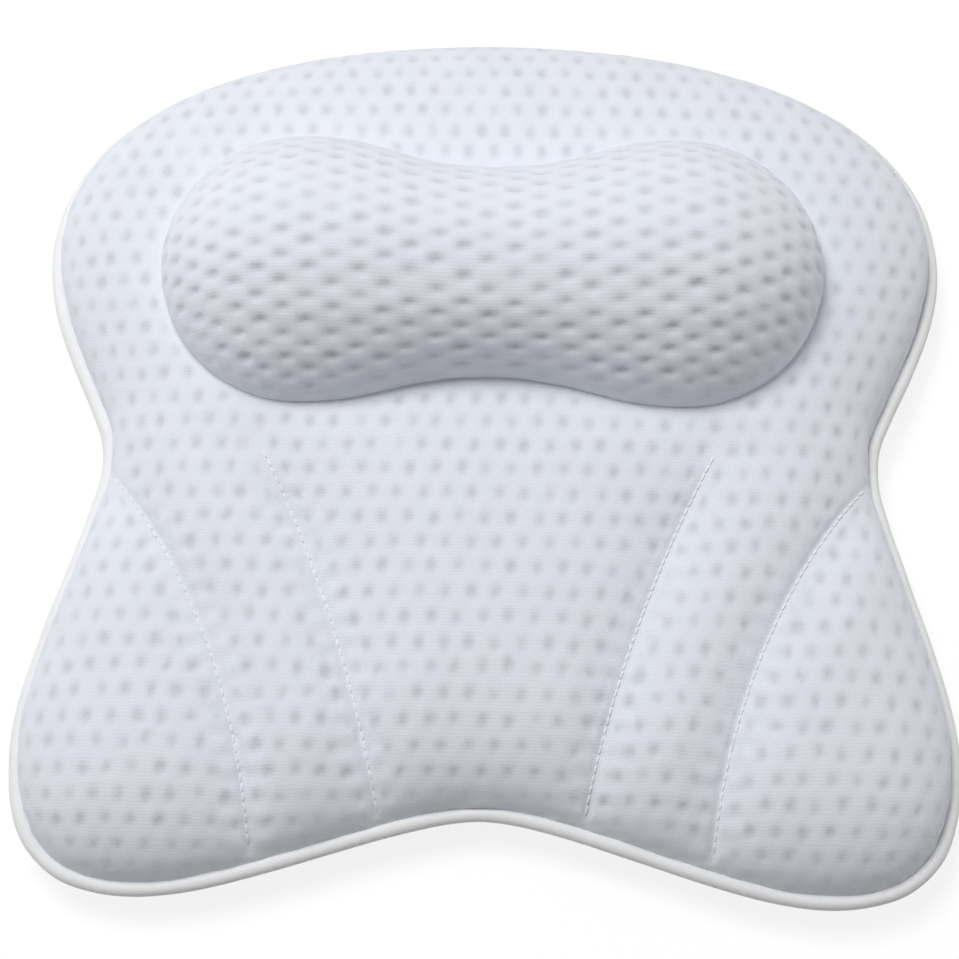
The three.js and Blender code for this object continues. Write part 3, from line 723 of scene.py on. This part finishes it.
@contextmanager
def edited(mesh):
    """A form of a mesh, which goes back into the mesh at the end."""
    form = bmesh.new()
    form.from_mesh(mesh)
    yield form
    form.to_mesh(mesh)
    form.free()


def vectors(items, field):
    """A field of three numbers of each item of a mesh, as rows."""
    values = np.empty(len(items) * 3)
    items.foreach_get(field, values)
    return values.reshape(-1, 3)


def coordinates(mesh):
    """The place of each point of a mesh."""
    return vectors(mesh.vertices, "co")


def directions(mesh):
    """The outward direction at each point of a mesh."""
    return vectors(mesh.vertex_normals, "vector")


def fabric_places(mesh):
    """The place of each point of a mesh in its flat fabric."""
    return vectors(mesh.attributes["fabric"].data, "vector")


def place_points(mesh, places):
    mesh.vertices.foreach_set("co", places.ravel())
    mesh.update()


def keep_attribute(mesh, name, values):
    """Keeps a number or a vector for each point of a mesh."""
    kind, field = ("FLOAT_VECTOR", "vector") if values.ndim == 2 else ("FLOAT", "value")
    layer = mesh.attributes.get(name) or mesh.attributes.new(name, kind, "POINT")
    layer.data.foreach_set(field, values.ravel())


def new_piece(name, form, finish):
    """An object of a form, which is used up, with its finish and smooth faces."""
    mesh = bpy.data.meshes.new(name)
    form.to_mesh(mesh)
    form.free()
    mesh.shade_smooth()
    mesh.materials.append(finish)
    piece = bpy.data.objects.new(name, mesh)
    bpy.context.scene.collection.objects.link(piece)
    return piece


def take_shape(piece):
    """Applies all the modifiers of a piece to its mesh."""
    evaluated = piece.evaluated_get(bpy.context.evaluated_depsgraph_get())
    mesh = bpy.data.meshes.new_from_object(evaluated)
    piece.modifiers.clear()
    old, piece.data = piece.data, mesh
    mesh.name = old.name
    bpy.data.meshes.remove(old)
    mesh.shade_smooth()


def remesh(piece, voxel):
    """Gives a closed form an even grid of square faces."""
    modifier = piece.modifiers.new("Remesh", "REMESH")
    modifier.mode = "VOXEL"
    modifier.voxel_size = voxel
    take_shape(piece)


def subdivide(piece, levels):
    """Makes a piece finer and rounder."""
    modifier = piece.modifiers.new("Subdivision", "SUBSURF")
    modifier.levels = levels
    modifier.render_levels = levels
    take_shape(piece)


def relax(mesh, free, rounds):
    """Evens out the free points of a mesh."""
    every_axis = {"use_axis_x": True, "use_axis_y": True, "use_axis_z": True}
    with edited(mesh) as form:
        loose = chosen(form.verts, free)
        for _ in range(rounds):
            bmesh.ops.smooth_vert(form, verts=loose, factor=0.5, **every_axis)


def press_edge(mesh, line, level, height, reach, out):
    """Presses the low edge of a mesh to a smooth line in plan, or to a distance outside it."""
    places = coordinates(mesh)
    index, _ = nearest(line, places)
    outwards = outward_normals(line)[index]
    within = np.sum((line[index] - places[:, :2]) * outwards, axis=1)
    low = (1 - smoothstep(0, height, places[:, 2] - level)) * (np.abs(within) < reach)
    places[:, :2] += outwards * ((within + out) * low)[:, None]
    place_points(mesh, places)


def fill_with_pressure(piece, pinned, quilt, furthest):
    """Fills a closed cloth form under pressure, held at the pinned points, and keeps the result."""
    scene = bpy.context.scene
    group = piece.vertex_groups.new(name="pins")
    group.add(np.flatnonzero(pinned).tolist(), 1.0, "REPLACE")
    start = coordinates(piece.data)
    cloth = piece.modifiers.new("Cloth", "CLOTH")
    cloth.settings.quality = CLOTH_QUALITY
    cloth.settings.mass = CLOTH_MASS
    cloth.settings.bending_stiffness = CLOTH_BENDING
    cloth.settings.vertex_group_mass = group.name
    cloth.settings.use_pressure = True
    cloth.settings.uniform_pressure_force = quilt.pressure
    cloth.settings.effector_weights.gravity = 0
    cloth.point_cache.frame_start = 1
    cloth.point_cache.frame_end = quilt.frames
    for step in range(1, quilt.frames + 1):
        scene.frame_set(step)
    take_shape(piece)
    scene.frame_set(1)
    piece.vertex_groups.clear()
    moved = coordinates(piece.data) - start
    far = np.linalg.norm(moved, axis=1)[:, None]
    held = furthest * np.tanh(far / furthest) / np.maximum(far, SAME_POINT)
    place_points(piece.data, start + moved * held)


def solid_section(crown):
    """The section of the solid pad from its edge up to its crown, as (distance inside, height) points."""
    inwards = SOLID_SHOULDER * np.linspace(0, 1, SECTION_STEPS) ** 3
    outer = (1 - inwards / SOLID_SHOULDER) ** SOLID_FULLNESS
    return np.column_stack([inwards, crown * (1 - outer) ** (1 / SOLID_FULLNESS)])


def bulging_section(shoulder, crown, bulge, bulge_level):
    """The section of the stuffed pad from its hem: out over the hem, then up and in to the crown."""
    lower = np.linspace(0, np.pi / 2, HEM_SECTION_STEPS)
    upper = np.linspace(0, np.pi / 2, SECTION_STEPS - HEM_SECTION_STEPS)
    low = np.column_stack([-bulge * np.sin(lower), bulge_level * (1 - np.cos(lower))])
    inwards = shoulder - (shoulder + bulge) * np.cos(upper)
    high = np.column_stack([inwards, bulge_level + (crown - bulge_level) * np.sin(upper)])
    return np.vstack([low[:-1], high])


def seam_lines(outline, quilt):
    """The four quilting seams in plan, each from its top to the lower hem."""
    right = outline[outline[:, 0] > 0]
    side = right[right[:, 0] > quilt.outer_hem_x]
    lower = right[right[:, 1] < quilt.outer_top_y]
    outer_top = side[np.argmin(np.abs(side[:, 1] - quilt.outer_top_y))]
    inner_top = np.array([quilt.inner_top_x, quilt.inner_top_y])
    seams = []
    for start, hem_x, bow in (
        (outer_top, quilt.outer_hem_x, quilt.outer_bow),
        (inner_top, quilt.inner_hem_x, quilt.inner_bow),
    ):
        end = lower[np.argmin(np.abs(lower[:, 0] - hem_x))]
        way = (end - start) / np.linalg.norm(end - start)
        bowed = bow * np.array([way[1], -way[0]])
        upper = start + (end - start) * quilt.bend + bowed
        under = start + (end - start) * (1 - quilt.bend) + bowed
        line = bezier((start, upper, under, end), SEAM_STEPS)
        for hand in (1, -1):
            seams.append({"line": line * (hand, 1), "run": run_along(line), "inner": start is inner_top})
    return seams


def seam_reach(seams, places):
    """For each place, which seam is nearest, the way along it to there, and the distance to it."""
    index, distance = nearest(np.vstack([seam["line"] for seam in seams]), places)
    along = np.concatenate([seam["run"] for seam in seams])[index]
    return index // SEAM_STEPS, along, distance


def draw_in(quilt, seams, places):
    """How strongly the seams draw the pad in at each place: 1 on a seam, 0 away from all of them."""
    drawn = np.zeros(len(places))
    for seam in seams:
        index, distance = nearest(seam["line"], places)
        valley = (1 - np.minimum(distance / quilt.channel_reach, 1)) ** 2
        grown = smoothstep(0, quilt.seam_fade, seam["run"][index])
        strength = quilt.seam_start + (1 - quilt.seam_start) * grown if seam["inner"] else 1
        drawn = np.maximum(drawn, strength * valley)
    return drawn


def let_out(to_edge, reach, crown):
    """How much longer the roll's fabric is than its plan, from each distance inside its edge up."""
    inwards = np.linspace(0, reach, ROLL_SECTION_STEPS)
    rise = crown * (1 - (1 - inwards / reach) ** 2) ** ROLL_LEAN
    arc = run_along(np.column_stack([inwards, rise]))
    return np.interp(to_edge, inwards, (arc[-1] - arc) - (reach - inwards))


def dimple_depths(fabric, mesh, width, length):
    """How deep each point lies in a dimple, from 0 to about 1. Rows are staggered by half a pitch."""
    chance = np.random.default_rng(SEED).normal(size=(DRAWS, DRAWS, 3))
    row = np.round(fabric[:, 1] / mesh.row).astype(int)
    stagger = (row % 2) * 0.5
    column = np.round(fabric[:, 0] / mesh.pitch - stagger).astype(int)
    drawn = chance[row % DRAWS, column % DRAWS]
    off_x = fabric[:, 0] - (column + stagger) * mesh.pitch - mesh.shift * drawn[:, 0]
    off_y = fabric[:, 1] - row * mesh.row - mesh.shift * drawn[:, 1]
    return (1 + mesh.unevenness * drawn[:, 2]) * np.exp(-((off_x / width) ** 2) - (off_y / length) ** 2)


def on_ring(radius, turn):
    """A point on a level ring round the origin."""
    return Vector((radius * math.cos(turn), radius * math.sin(turn), 0))


def eyelet_loop(cup, radius):
    """The hole that a cup's neck goes through."""
    middle, _ = round_place("suction_cup_" + cup)
    turn = np.linspace(0, 2 * np.pi, EYELET_STEPS, endpoint=False)
    return np.column_stack([middle[0] + radius * np.cos(turn), middle[1] + radius * np.sin(turn)])


def add_stitch(form, start, end, radius):
    """A short run of thread between two points, pointed where it goes into the cloth."""
    turn = (end - start).to_track_quat("Z", "Y").to_matrix().to_4x4()
    stretch = Matrix.Diagonal((1, 1, (end - start).length / 2 / radius, 1))
    matrix = Matrix.Translation((start + end) / 2) @ turn @ stretch
    bmesh.ops.create_uvsphere(form, u_segments=6, v_segments=5, radius=radius, matrix=matrix)


class BATHPILLOW_OT_stage(bpy.types.Operator):
    """Set the camera of the picture, a pale floor and soft studio light"""

    bl_idname = "bath_pillow.stage"
    bl_label = "Stage"

    def execute(self, context):
        scene = context.scene
        stage = scene.bath_pillow.stage
        self.add_camera(scene, stage)
        self.add_floor()
        for name, side, place in LIGHTS:
            self.add_light(scene, name, getattr(stage, name), side, place)
        self.light_sky(scene, stage)
        scene.view_settings.view_transform = "Standard"
        return {"FINISHED"}

    def add_camera(self, scene, stage):
        level = math.cos(stage.elevation)
        ahead, aside = math.cos(stage.azimuth), math.sin(stage.azimuth)
        back = Vector((aside * level, -ahead * level, math.sin(stage.elevation)))
        right = Vector((ahead, aside, 0))
        axes = Matrix((right, back.cross(right), back)).transposed().to_4x4()
        place = Matrix.Translation(Vector(stage.target) + back * stage.distance)
        data = bpy.data.cameras.new("camera")
        data.sensor_width = SENSOR_WIDTH
        data.lens = stage.focus / PICTURE_SIDE * SENSOR_WIDTH
        camera = bpy.data.objects.new("camera", data)
        camera.matrix_world = place @ axes @ Matrix.Rotation(stage.roll, 4, "Z")
        scene.collection.objects.link(camera)
        scene.camera = camera

    def add_floor(self):
        form = bmesh.new()
        bmesh.ops.create_grid(form, x_segments=FLOOR_CELLS, y_segments=FLOOR_CELLS, size=FLOOR_HALF)
        new_piece("floor", form, studio_floor())

    def add_light(self, scene, name, power, side, place):
        """Hangs a square soft light at a place, facing the pillow."""
        data = bpy.data.lights.new(name, "AREA")
        data.size = side
        data.energy = power
        light = bpy.data.objects.new(name, data)
        facing = (Vector(place) - Vector(LIT_POINT)).to_track_quat("Z", "Y")
        light.matrix_world = Matrix.Translation(place) @ facing.to_matrix().to_4x4()
        scene.collection.objects.link(light)

    def light_sky(self, scene, stage):
        """Lights the pillow from all round, with a white sky for the camera."""
        shader = Shader(bpy.data.worlds.new("studio"))
        sky = shader.node("Background", {"Color": SKY, "Strength": stage.fill})
        white = shader.node("Background", {"Color": WHITE, "Strength": 1})
        both = shader.node("MixShader", {0: seen_ray(shader), 1: sky, 2: white})
        scene.world = shader.surface(both, "OutputWorld")


class BATHPILLOW_OT_pad(bpy.types.Operator):
    """Sew and fill the quilted pad"""

    bl_idname = "bath_pillow.pad"
    bl_label = "Quilted pad"

    def execute(self, context):
        settings = context.scene.bath_pillow
        quilt = settings.quilt
        outline = hem_outline(FINE_SPACING)
        seams = seam_lines(outline, quilt)
        low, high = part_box("face_cover")
        hem, crown = low[2], high[2] - low[2]

        form, _ = outer_form("face_cover")
        _, roll_base = outer_form("neck_roll_cover")
        roll_line = even_loop(roll_base, OUTLINE_SPACING)
        close_underside(form)
        pad = new_piece("quilted_pad", form, shared_finish(knitted_air_mesh, settings.mesh))
        remesh(pad, quilt.voxel)

        top = self.shape(pad, quilt, outline, seams, hem, crown)
        places = coordinates(pad.data)
        _, _, off_seam = seam_reach(seams, places)
        _, off_roll = nearest(roll_line, places)
        sewn = top & ((off_seam < quilt.seam_hold) | (off_roll < quilt.roll_hold))
        fill_with_pressure(pad, ~top | sewn, quilt, quilt.swell)

        self.open_underside(pad, hem, outline)
        subdivide(pad, 2)
        press_edge(pad.data, outline, hem, quilt.edge_height, quilt.edge_height, quilt.edge_out)
        self.sew(pad, settings, seams, roll_line)
        with edited(pad.data) as form:
            close_underside(form)
        pad.data.shade_smooth()

        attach(pad, "pillow")
        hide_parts("face_cover", "base_foam", *BATTS)
        return {"FINISHED"}

    def shape(self, pad, quilt, outline, seams, hem, crown):
        """Gives the solid's form its stuffed section and channels, and says which points are its face."""
        places = coordinates(pad.data)
        index, to_hem = nearest(outline, places)
        outwards = outward_normals(outline)[index]
        face = places[:, 2] > hem + FACE_LEVEL
        drawn = 1 - quilt.channel / crown * draw_in(quilt, seams, places)
        solid = solid_section(crown)
        level = np.minimum((places[:, 2] - hem) / drawn, crown)
        step, _ = nearest(solid, np.column_stack([np.minimum(to_hem, SOLID_SHOULDER), level]))
        part = run_along(solid)[step] / run_along(solid)[-1]
        bulging = smoothstep(*SIDE_BULGES, outwards[:, 1])
        stuffed = np.zeros((len(places), 4))
        for weight, grown in ((1 - bulging, FOOT_BULGE), (bulging, 1)):
            section = bulging_section(
                quilt.shoulder, crown * (1 - quilt.slack), grown * quilt.bulge, grown * quilt.bulge_level
            )
            run = run_along(section)
            from_hem = part * run[-1]
            to_crown = (1 - part) * run[-1]
            found = np.column_stack([at_marks(section, run, from_hem), from_hem, to_crown])
            stuffed += weight[:, None] * found
        inwards, level, from_hem, to_crown = stuffed.T
        inwards = np.where(part < 1, inwards, to_hem)
        moved = np.where(face, to_hem - inwards, 0)
        spare = to_crown - (quilt.shoulder - np.minimum(inwards, quilt.shoulder))
        places[:, :2] += outwards * moved[:, None]
        places[:, 2] = np.where(face, hem + level * drawn, places[:, 2])
        place_points(pad.data, places)
        relax(pad.data, face & (from_hem > EVENED_FROM), PAD_EVENINGS)
        fabric = np.column_stack([places[:, :2] + outwards * spare[:, None], from_hem])
        keep_attribute(pad.data, "fabric", fabric)
        return face & (from_hem > quilt.held)

    def open_underside(self, pad, hem, outline):
        """Takes out the flat underside, which lies on the foam, so that only the face is made fine."""
        places = coordinates(pad.data)
        _, to_hem = nearest(outline, places)
        deep = (places[:, 2] < hem + UNDERSIDE_LEVEL) & (to_hem > UNDERSIDE_EDGE)
        with edited(pad.data) as form:
            bmesh.ops.delete(form, geom=chosen(form.verts, deep), context="VERTS")

    def sew(self, pad, settings, seams, roll_line):
        """Draws in the seams' creases and puckers, and presses in the dimples."""
        quilt, mesh = settings.quilt, settings.mesh
        places = coordinates(pad.data)
        facing = directions(pad.data)
        fabric = fabric_places(pad.data)
        seam, along, off_seam = seam_reach(seams, places)
        _, off_roll = nearest(roll_line, places)
        face = smoothstep(*FACE_LOOKS, facing[:, 2])
        outer = np.array([not each["inner"] for each in seams])[seam]
        begun = np.maximum(smoothstep(*CREASE_BEGINS, along), OUTER_CREASE_START * outer)
        crease = quilt.crease * np.exp(-((off_seam / CREASE_REACH) ** 2))
        beside = np.exp(-(((off_seam - PUCKER_OFFSET) / PUCKER_REACH) ** 2))
        ripple = np.sin(along * 2 * np.pi / PUCKER_LENGTH + seam) * beside
        sunk = face * begun * (crease + quilt.pucker * ripple)
        sunk *= smoothstep(*CREASE_FROM_HEM, fabric[:, 2])
        dimple = dimple_depths(fabric, mesh, mesh.width, mesh.length)
        dimple *= smoothstep(*DIMPLE_FROM_SEAM, np.minimum(off_seam, off_roll))
        dimple *= DIMPLE_AT_HEM + (1 - DIMPLE_AT_HEM) * smoothstep(*DIMPLE_FROM_HEM, fabric[:, 2])
        dimple *= face
        place_points(pad.data, places - facing * (mesh.depth * dimple + sunk)[:, None])
        # The finish darkens the dimples by this depth: the inner layer's colour, and painted shade in the
        # hollows.
        keep_attribute(pad.data, "dimple", dimple)


class BATHPILLOW_OT_neck_roll(bpy.types.Operator):
    """Sew and fill the raised neck roll"""

    bl_idname = "bath_pillow.neck_roll"
    bl_label = "Neck roll"

    def execute(self, context):
        settings = context.scene.bath_pillow
        quilt, mesh = settings.quilt, settings.mesh
        low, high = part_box("neck_roll_cover")
        base, height = low[2], high[2] - low[2]

        form, loop = outer_form("neck_roll_cover")
        close_underside(form)
        roll = new_piece("neck_roll", form, shared_finish(knitted_air_mesh, mesh))
        grid = quilt.voxel * ROLL_GRID
        remesh(roll, grid)
        seam = even_loop(loop, FINE_SPACING)
        press_edge(roll.data, seam, base, grid / 2, grid * ROLL_PRESSED, 0)
        above = coordinates(roll.data)[:, 2] > base + ROLL_HELD
        relax(roll.data, above, ROLL_EVENINGS)

        places = coordinates(roll.data)
        index, off_seam = nearest(seam, places)
        to_edge = np.where(inside(seam, places), off_seam, -off_seam) + quilt.roll_tuck
        outwards = outward_normals(seam)[index]
        waist = np.maximum(-outwards[:, 1], 0) * np.exp(-((places[:, 0] / quilt.waist_width) ** 2))
        taken_in = quilt.roll_inset * (1 - smoothstep(0, quilt.roll_flank, to_edge))
        taken_in += quilt.waist_tuck * waist * (1 - smoothstep(0, quilt.waist_rise, places[:, 2] - base))
        places[:, :2] -= outwards * taken_in[:, None]
        stretch = (1 - quilt.slack) + quilt.roll_sink / height
        places[:, 2] = base - quilt.roll_sink + (places[:, 2] - base) * stretch
        place_points(roll.data, places)

        spare = let_out(to_edge, (high[1] - low[1]) / 2, height - quilt.roll_bulge)
        spare += np.maximum(base + quilt.roll_bulge - places[:, 2], 0)
        spare *= 1 - ROLL_END_EASE * outwards[:, 0] ** 2
        fabric = places * (1, 1, 0)
        fabric[:, :2] += outwards * spare[:, None]
        keep_attribute(roll.data, "fabric", fabric)
        fill_with_pressure(roll, ~above, quilt, quilt.roll_swell)

        places = coordinates(roll.data)
        level = (places[:, 2] - base) / height
        belly = smoothstep(*BELLY_GROWS, level) * (1 - smoothstep(*BELLY_FADES, level))
        places[:, :2] += outwards * (quilt.waist_belly * waist * belly)[:, None]
        place_points(roll.data, places)
        subdivide(roll, 2)
        self.press_dimples(roll, mesh, base)

        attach(roll, "pillow")
        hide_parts("neck_roll_cover", "neck_roll_core")
        return {"FINISHED"}

    def press_dimples(self, roll, mesh, base):
        """Presses in the dimples, whose rows run up the roll."""
        places = coordinates(roll.data)
        turned = fabric_places(roll.data)[:, [1, 0, 2]]
        dimple = dimple_depths(turned, mesh, mesh.roll_width, mesh.roll_length)
        dimple *= smoothstep(*ROLL_DIMPLE_RISE, places[:, 2] - base)
        place_points(roll.data, places - directions(roll.data) * (mesh.roll_depth * dimple)[:, None])
        # The finish darkens the dimples by this depth: the inner layer's colour, and painted shade in the
        # hollows.
        keep_attribute(roll.data, "dimple", dimple)


class BATHPILLOW_OT_piping(bpy.types.Operator):
    """Lay the piping round the hem"""

    bl_idname = "bath_pillow.piping"
    bl_label = "Piping"

    def execute(self, context):
        trim = context.scene.bath_pillow.trim
        low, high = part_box("piping_tape")
        level = (low[2] + high[2]) / 2 + trim.piping_lift
        outline = hem_outline()
        middle = even_loop(outline + outward_normals(outline) * trim.piping_out, OUTLINE_SPACING)
        run = np.arange(len(middle)) * OUTLINE_SPACING
        tube = self.tube(trim, middle, level, run)
        piping = new_piece("piping", tube, shared_finish(woven_tape, trim))
        places = coordinates(piping.data)
        index, off = nearest(middle, places)
        around = np.arctan2(places[:, 2] - level, off) * trim.piping_radius
        keep_attribute(piping.data, "fabric", np.column_stack([run[index], around, 0 * around]))

        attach(piping, "pillow")
        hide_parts("piping_tape", "piping_cord")
        return {"FINISHED"}

    def tube(self, trim, middle, level, run):
        """A tube round a closed line, a little uneven along it."""
        first, second = (run * 2 * np.pi / wave for wave in PIPING_WAVES)
        swings = np.sin(first) + np.sin(second + PIPING_SHIFT)
        data = bpy.data.curves.new("piping_line", "CURVE")
        data.dimensions = "3D"
        data.bevel_depth = trim.piping_radius
        data.bevel_resolution = PIPING_ROUNDING
        spline = data.splines.new("POLY")
        spline.points.add(len(middle) - 1)
        spline.use_cyclic_u = True
        for point, (x, y), swing in zip(spline.points, middle, swings):
            point.co = (x, y, level + PIPING_SWAY * swing, 1)
            point.radius = 1 + PIPING_SWELL * swing
        line = bpy.data.objects.new("piping_line", data)
        mesh = bpy.data.meshes.new_from_object(line)
        form = bmesh.new()
        form.from_mesh(mesh)
        bmesh.ops.remove_doubles(form, verts=form.verts, dist=SAME_POINT)
        bmesh.ops.recalc_face_normals(form, faces=form.faces)
        bpy.data.objects.remove(line)
        bpy.data.curves.remove(data)
        bpy.data.meshes.remove(mesh)
        return form


class BATHPILLOW_OT_back_panel(bpy.types.Operator):
    """Cut the flat back panel with its eyelets"""

    bl_idname = "bath_pillow.back_panel"
    bl_label = "Back panel"

    def execute(self, context):
        settings = context.scene.bath_pillow
        mesh = settings.mesh
        outline = hem_outline()
        low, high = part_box("back_cover")
        eyelets = [eyelet_loop(cup, settings.trim.eyelet) for cup in CUPS]
        rims = np.vstack([outline, *eyelets])
        form = self.cut(outline, eyelets, rims)
        panel = new_piece("back_panel", form, shared_finish(knitted_air_mesh, mesh))

        places = coordinates(panel.data)
        _, to_rim = nearest(rims, places)
        dimple = dimple_depths(places, mesh, mesh.width, mesh.length) * smoothstep(*DIMPLE_FROM_RIM, to_rim)
        keep_attribute(panel.data, "fabric", places * (1, 1, 0))
        # The finish darkens the dimples by this depth: the inner layer's colour, and painted shade in the
        # hollows.
        keep_attribute(panel.data, "dimple", dimple)
        places[:, 2] = low[2] + mesh.back_depth * dimple
        place_points(panel.data, places)
        wall = panel.modifiers.new("Thickness", "SOLIDIFY")
        wall.thickness = high[2] - low[2]
        wall.offset = -1

        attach(panel, "pillow")
        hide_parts("back_cover")
        plan_area(outline)
        return {"FINISHED"}

    def cut(self, outline, eyelets, rims):
        """A level grid cut to the outline and the eyelets, with its edges drawn to them, facing down."""
        width, length = np.ptp(outline, axis=0) + 2 * PANEL_GRID
        form = bmesh.new()
        bmesh.ops.create_grid(
            form,
            x_segments=round(width / PANEL_GRID),
            y_segments=round(length / PANEL_GRID),
            size=1.0,
            matrix=Matrix.Diagonal((width / 2, length / 2, 1, 1)),
        )
        middles = np.array([f.calc_center_median() for f in form.faces])
        outside = ~inside(outline, middles)
        for eyelet in eyelets:
            outside |= inside(eyelet, middles)
        bmesh.ops.delete(form, geom=chosen(form.faces, outside), context="FACES")
        edge = [v for v in form.verts if v.is_boundary]
        index, _ = nearest(rims, np.array([v.co for v in edge]))
        for vertex, place in zip(edge, rims[index]):
            vertex.co.xy = place
        bmesh.ops.reverse_faces(form, faces=form.faces)
        return form


class BATHPILLOW_OT_patches(bpy.types.Operator):
    """Cut the round patches that hold the cups"""

    bl_idname = "bath_pillow.patches"
    bl_label = "Patches"

    def execute(self, context):
        trim = context.scene.bath_pillow.trim
        for cup in CUPS:
            low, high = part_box("cup_patch_" + cup)
            middle, reach = round_place("cup_patch_" + cup)
            profile = self.section(trim.eyelet, reach, low[2], high[2])
            form = spun(profile, middle, PATCH_STEPS)
            patch = new_piece("patch_" + cup, form, shared_finish(woven_tape, trim))
            keep_attribute(patch.data, "fabric", coordinates(patch.data) * (1, 1, 0))
            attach(patch, "pillow")
            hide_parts("cup_patch_" + cup)
        return {"FINISHED"}

    def section(self, hole, reach, bottom, top):
        """The section of a patch from its hole, with soft edges and the groove of its sewn line."""
        soft = (top - bottom) / 3
        inner, deepest, outer = (reach - off for off in PATCH_GROOVE)
        return [
            (hole, bottom + soft),
            (hole + soft, bottom),
            (inner, bottom),
            (deepest, bottom + soft * GROOVE_DEPTH),
            (outer, bottom),
            (reach, bottom + soft),
            (reach, top),
            (hole, top),
            (hole, bottom + soft),
        ]


class BATHPILLOW_OT_stitching(bpy.types.Operator):
    """Sew the quilting seams and the edges of the patches"""

    bl_idname = "bath_pillow.stitching"
    bl_label = "Stitching"

    def execute(self, context):
        settings = context.scene.bath_pillow
        thread = shared_finish(sewing_thread, settings.trim)
        self.sew_quilt(settings, thread)
        self.sew_patches(settings.trim, thread)
        return {"FINISHED"}

    def sew_quilt(self, settings, thread):
        trim = settings.trim
        pad = bpy.data.objects["quilted_pad"].data
        points = [v.co for v in pad.vertices]
        surface = BVHTree.FromPolygons(points, [tuple(p.vertices) for p in pad.polygons])
        out = Vector((0, 0, trim.thread * SEAM_THREAD_OUT))
        form = bmesh.new()
        for seam in seam_lines(hem_outline(), settings.quilt):
            line, run = seam["line"], seam["run"]
            for begin in np.arange(trim.stitch_pitch, run[-1] - UNSTITCHED, trim.stitch_pitch):
                ends = [
                    surface.ray_cast(Vector((x, y, OVER_ALL)), Vector((0, 0, -1)))[0] + out
                    for x, y in at_marks(line, run, (begin, begin + trim.stitch))
                ]
                add_stitch(form, *ends, trim.thread)
        stitches = new_piece("seam_stitches", form, thread)
        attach(stitches, "pillow")

    def sew_patches(self, trim, thread):
        form = bmesh.new()
        for cup in CUPS:
            low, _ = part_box("cup_patch_" + cup)
            place, reach = round_place("cup_patch_" + cup)
            middle = Vector((*place, low[2] - trim.thread * PATCH_THREAD_OUT))
            corners = [reach - off for off in ZIGZAG]
            for step in range(ZIGZAG_STITCHES):
                start, end = (
                    middle + on_ring(corners[(mark + 1) % 2], 2 * math.pi * mark / ZIGZAG_STITCHES)
                    for mark in (step, step + 1)
                )
                add_stitch(form, start, end, trim.thread * PATCH_THREAD)
        stitches = new_piece("patch_stitches", form, thread)
        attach(stitches, "pillow")


class BATHPILLOW_OT_suction_cups(bpy.types.Operator):
    """Mould the suction cups"""

    bl_idname = "bath_pillow.suction_cups"
    bl_label = "Suction cups"

    def execute(self, context):
        settings = context.scene.bath_pillow.cups
        for cup in CUPS:
            _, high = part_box("suction_cup_" + cup)
            middle, rim = round_place("suction_cup_" + cup)
            form = spun(self.section(settings, rim, high[2]), middle, settings.steps)
            piece = new_piece("cup_" + cup, form, shared_finish(moulded_vinyl, settings))
            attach(piece, "cup_" + cup)
            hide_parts("suction_cup_" + cup)
        return {"FINISHED"}

    def section(self, cup, rim, tip):
        """Half the section of a cup: its hollow, lip, bell, hub, neck and rounded head."""
        mouth = rim - cup.lip
        corner = cup.corner

        def dome(radius):
            return cup.hollow * (1 - (radius / mouth) ** BELL_FULLNESS)

        inner = np.linspace(0, mouth, BELL_STEPS)
        outer = np.linspace(rim - corner / 2, cup.hub + 4 * corner, BELL_STEPS)
        turn = np.linspace(0, np.pi / 2, BELL_STEPS)
        crown = tip - cup.head_level - corner
        return [
            *zip(inner, dome(inner)),
            (rim - corner, 0),
            (rim, corner),
            *zip(outer, dome(outer) + cup.wall),
            (cup.hub + corner, cup.hub_level - 2.5 * corner),
            (cup.hub, cup.hub_level - corner),
            (cup.hub - corner, cup.hub_level),
            (cup.neck + corner, cup.hub_level),
            (cup.neck, cup.hub_level + corner),
            (cup.neck, cup.head_level - corner),
            (cup.neck + corner, cup.head_level),
            (cup.head - corner, cup.head_level),
            *zip(cup.head * np.cos(turn), tip - crown + crown * np.sin(turn)),
        ]


class BATHPILLOW_PT_panel(bpy.types.Panel):
    """Lists the pieces of the bath pillow and what can be set on them"""

    bl_label = "Bath pillow"
    bl_idname = "BATHPILLOW_PT_panel"
    bl_space_type = "VIEW_3D"
    bl_region_type = "UI"
    bl_category = "Bath pillow"

    def draw(self, context):
        for operator in OPERATORS:
            self.layout.operator(operator.bl_idname)
        settings = context.scene.bath_pillow
        for part in BathPillowSettings.__annotations__:
            box = self.layout.box()
            box.label(text=part.title())
            group = getattr(settings, part)
            for name in type(group).__annotations__:
                box.prop(group, name)


OPERATORS = (
    BATHPILLOW_OT_stage,
    BATHPILLOW_OT_pad,
    BATHPILLOW_OT_neck_roll,
    BATHPILLOW_OT_piping,
    BATHPILLOW_OT_back_panel,
    BATHPILLOW_OT_patches,
    BATHPILLOW_OT_stitching,
    BATHPILLOW_OT_suction_cups,
)
CLASSES = (
    AirMeshSettings,
    QuiltSettings,
    TrimSettings,
    CupSettings,
    StageSettings,
    BathPillowSettings,
    *OPERATORS,
    BATHPILLOW_PT_panel,
)


def register():
    for item in CLASSES:
        bpy.utils.register_class(item)
    bpy.types.Scene.bath_pillow = PointerProperty(type=BathPillowSettings)


def unregister():
    del bpy.types.Scene.bath_pillow
    for item in reversed(CLASSES):
        bpy.utils.unregister_class(item)


def main():
    register()
    bpy.ops.bath_pillow.stage()
    bpy.ops.bath_pillow.pad()
    bpy.ops.bath_pillow.neck_roll()
    bpy.ops.bath_pillow.piping()
    bpy.ops.bath_pillow.back_panel()
    bpy.ops.bath_pillow.patches()
    bpy.ops.bath_pillow.stitching()
    bpy.ops.bath_pillow.suction_cups()


if __name__ == "__main__":
    main()
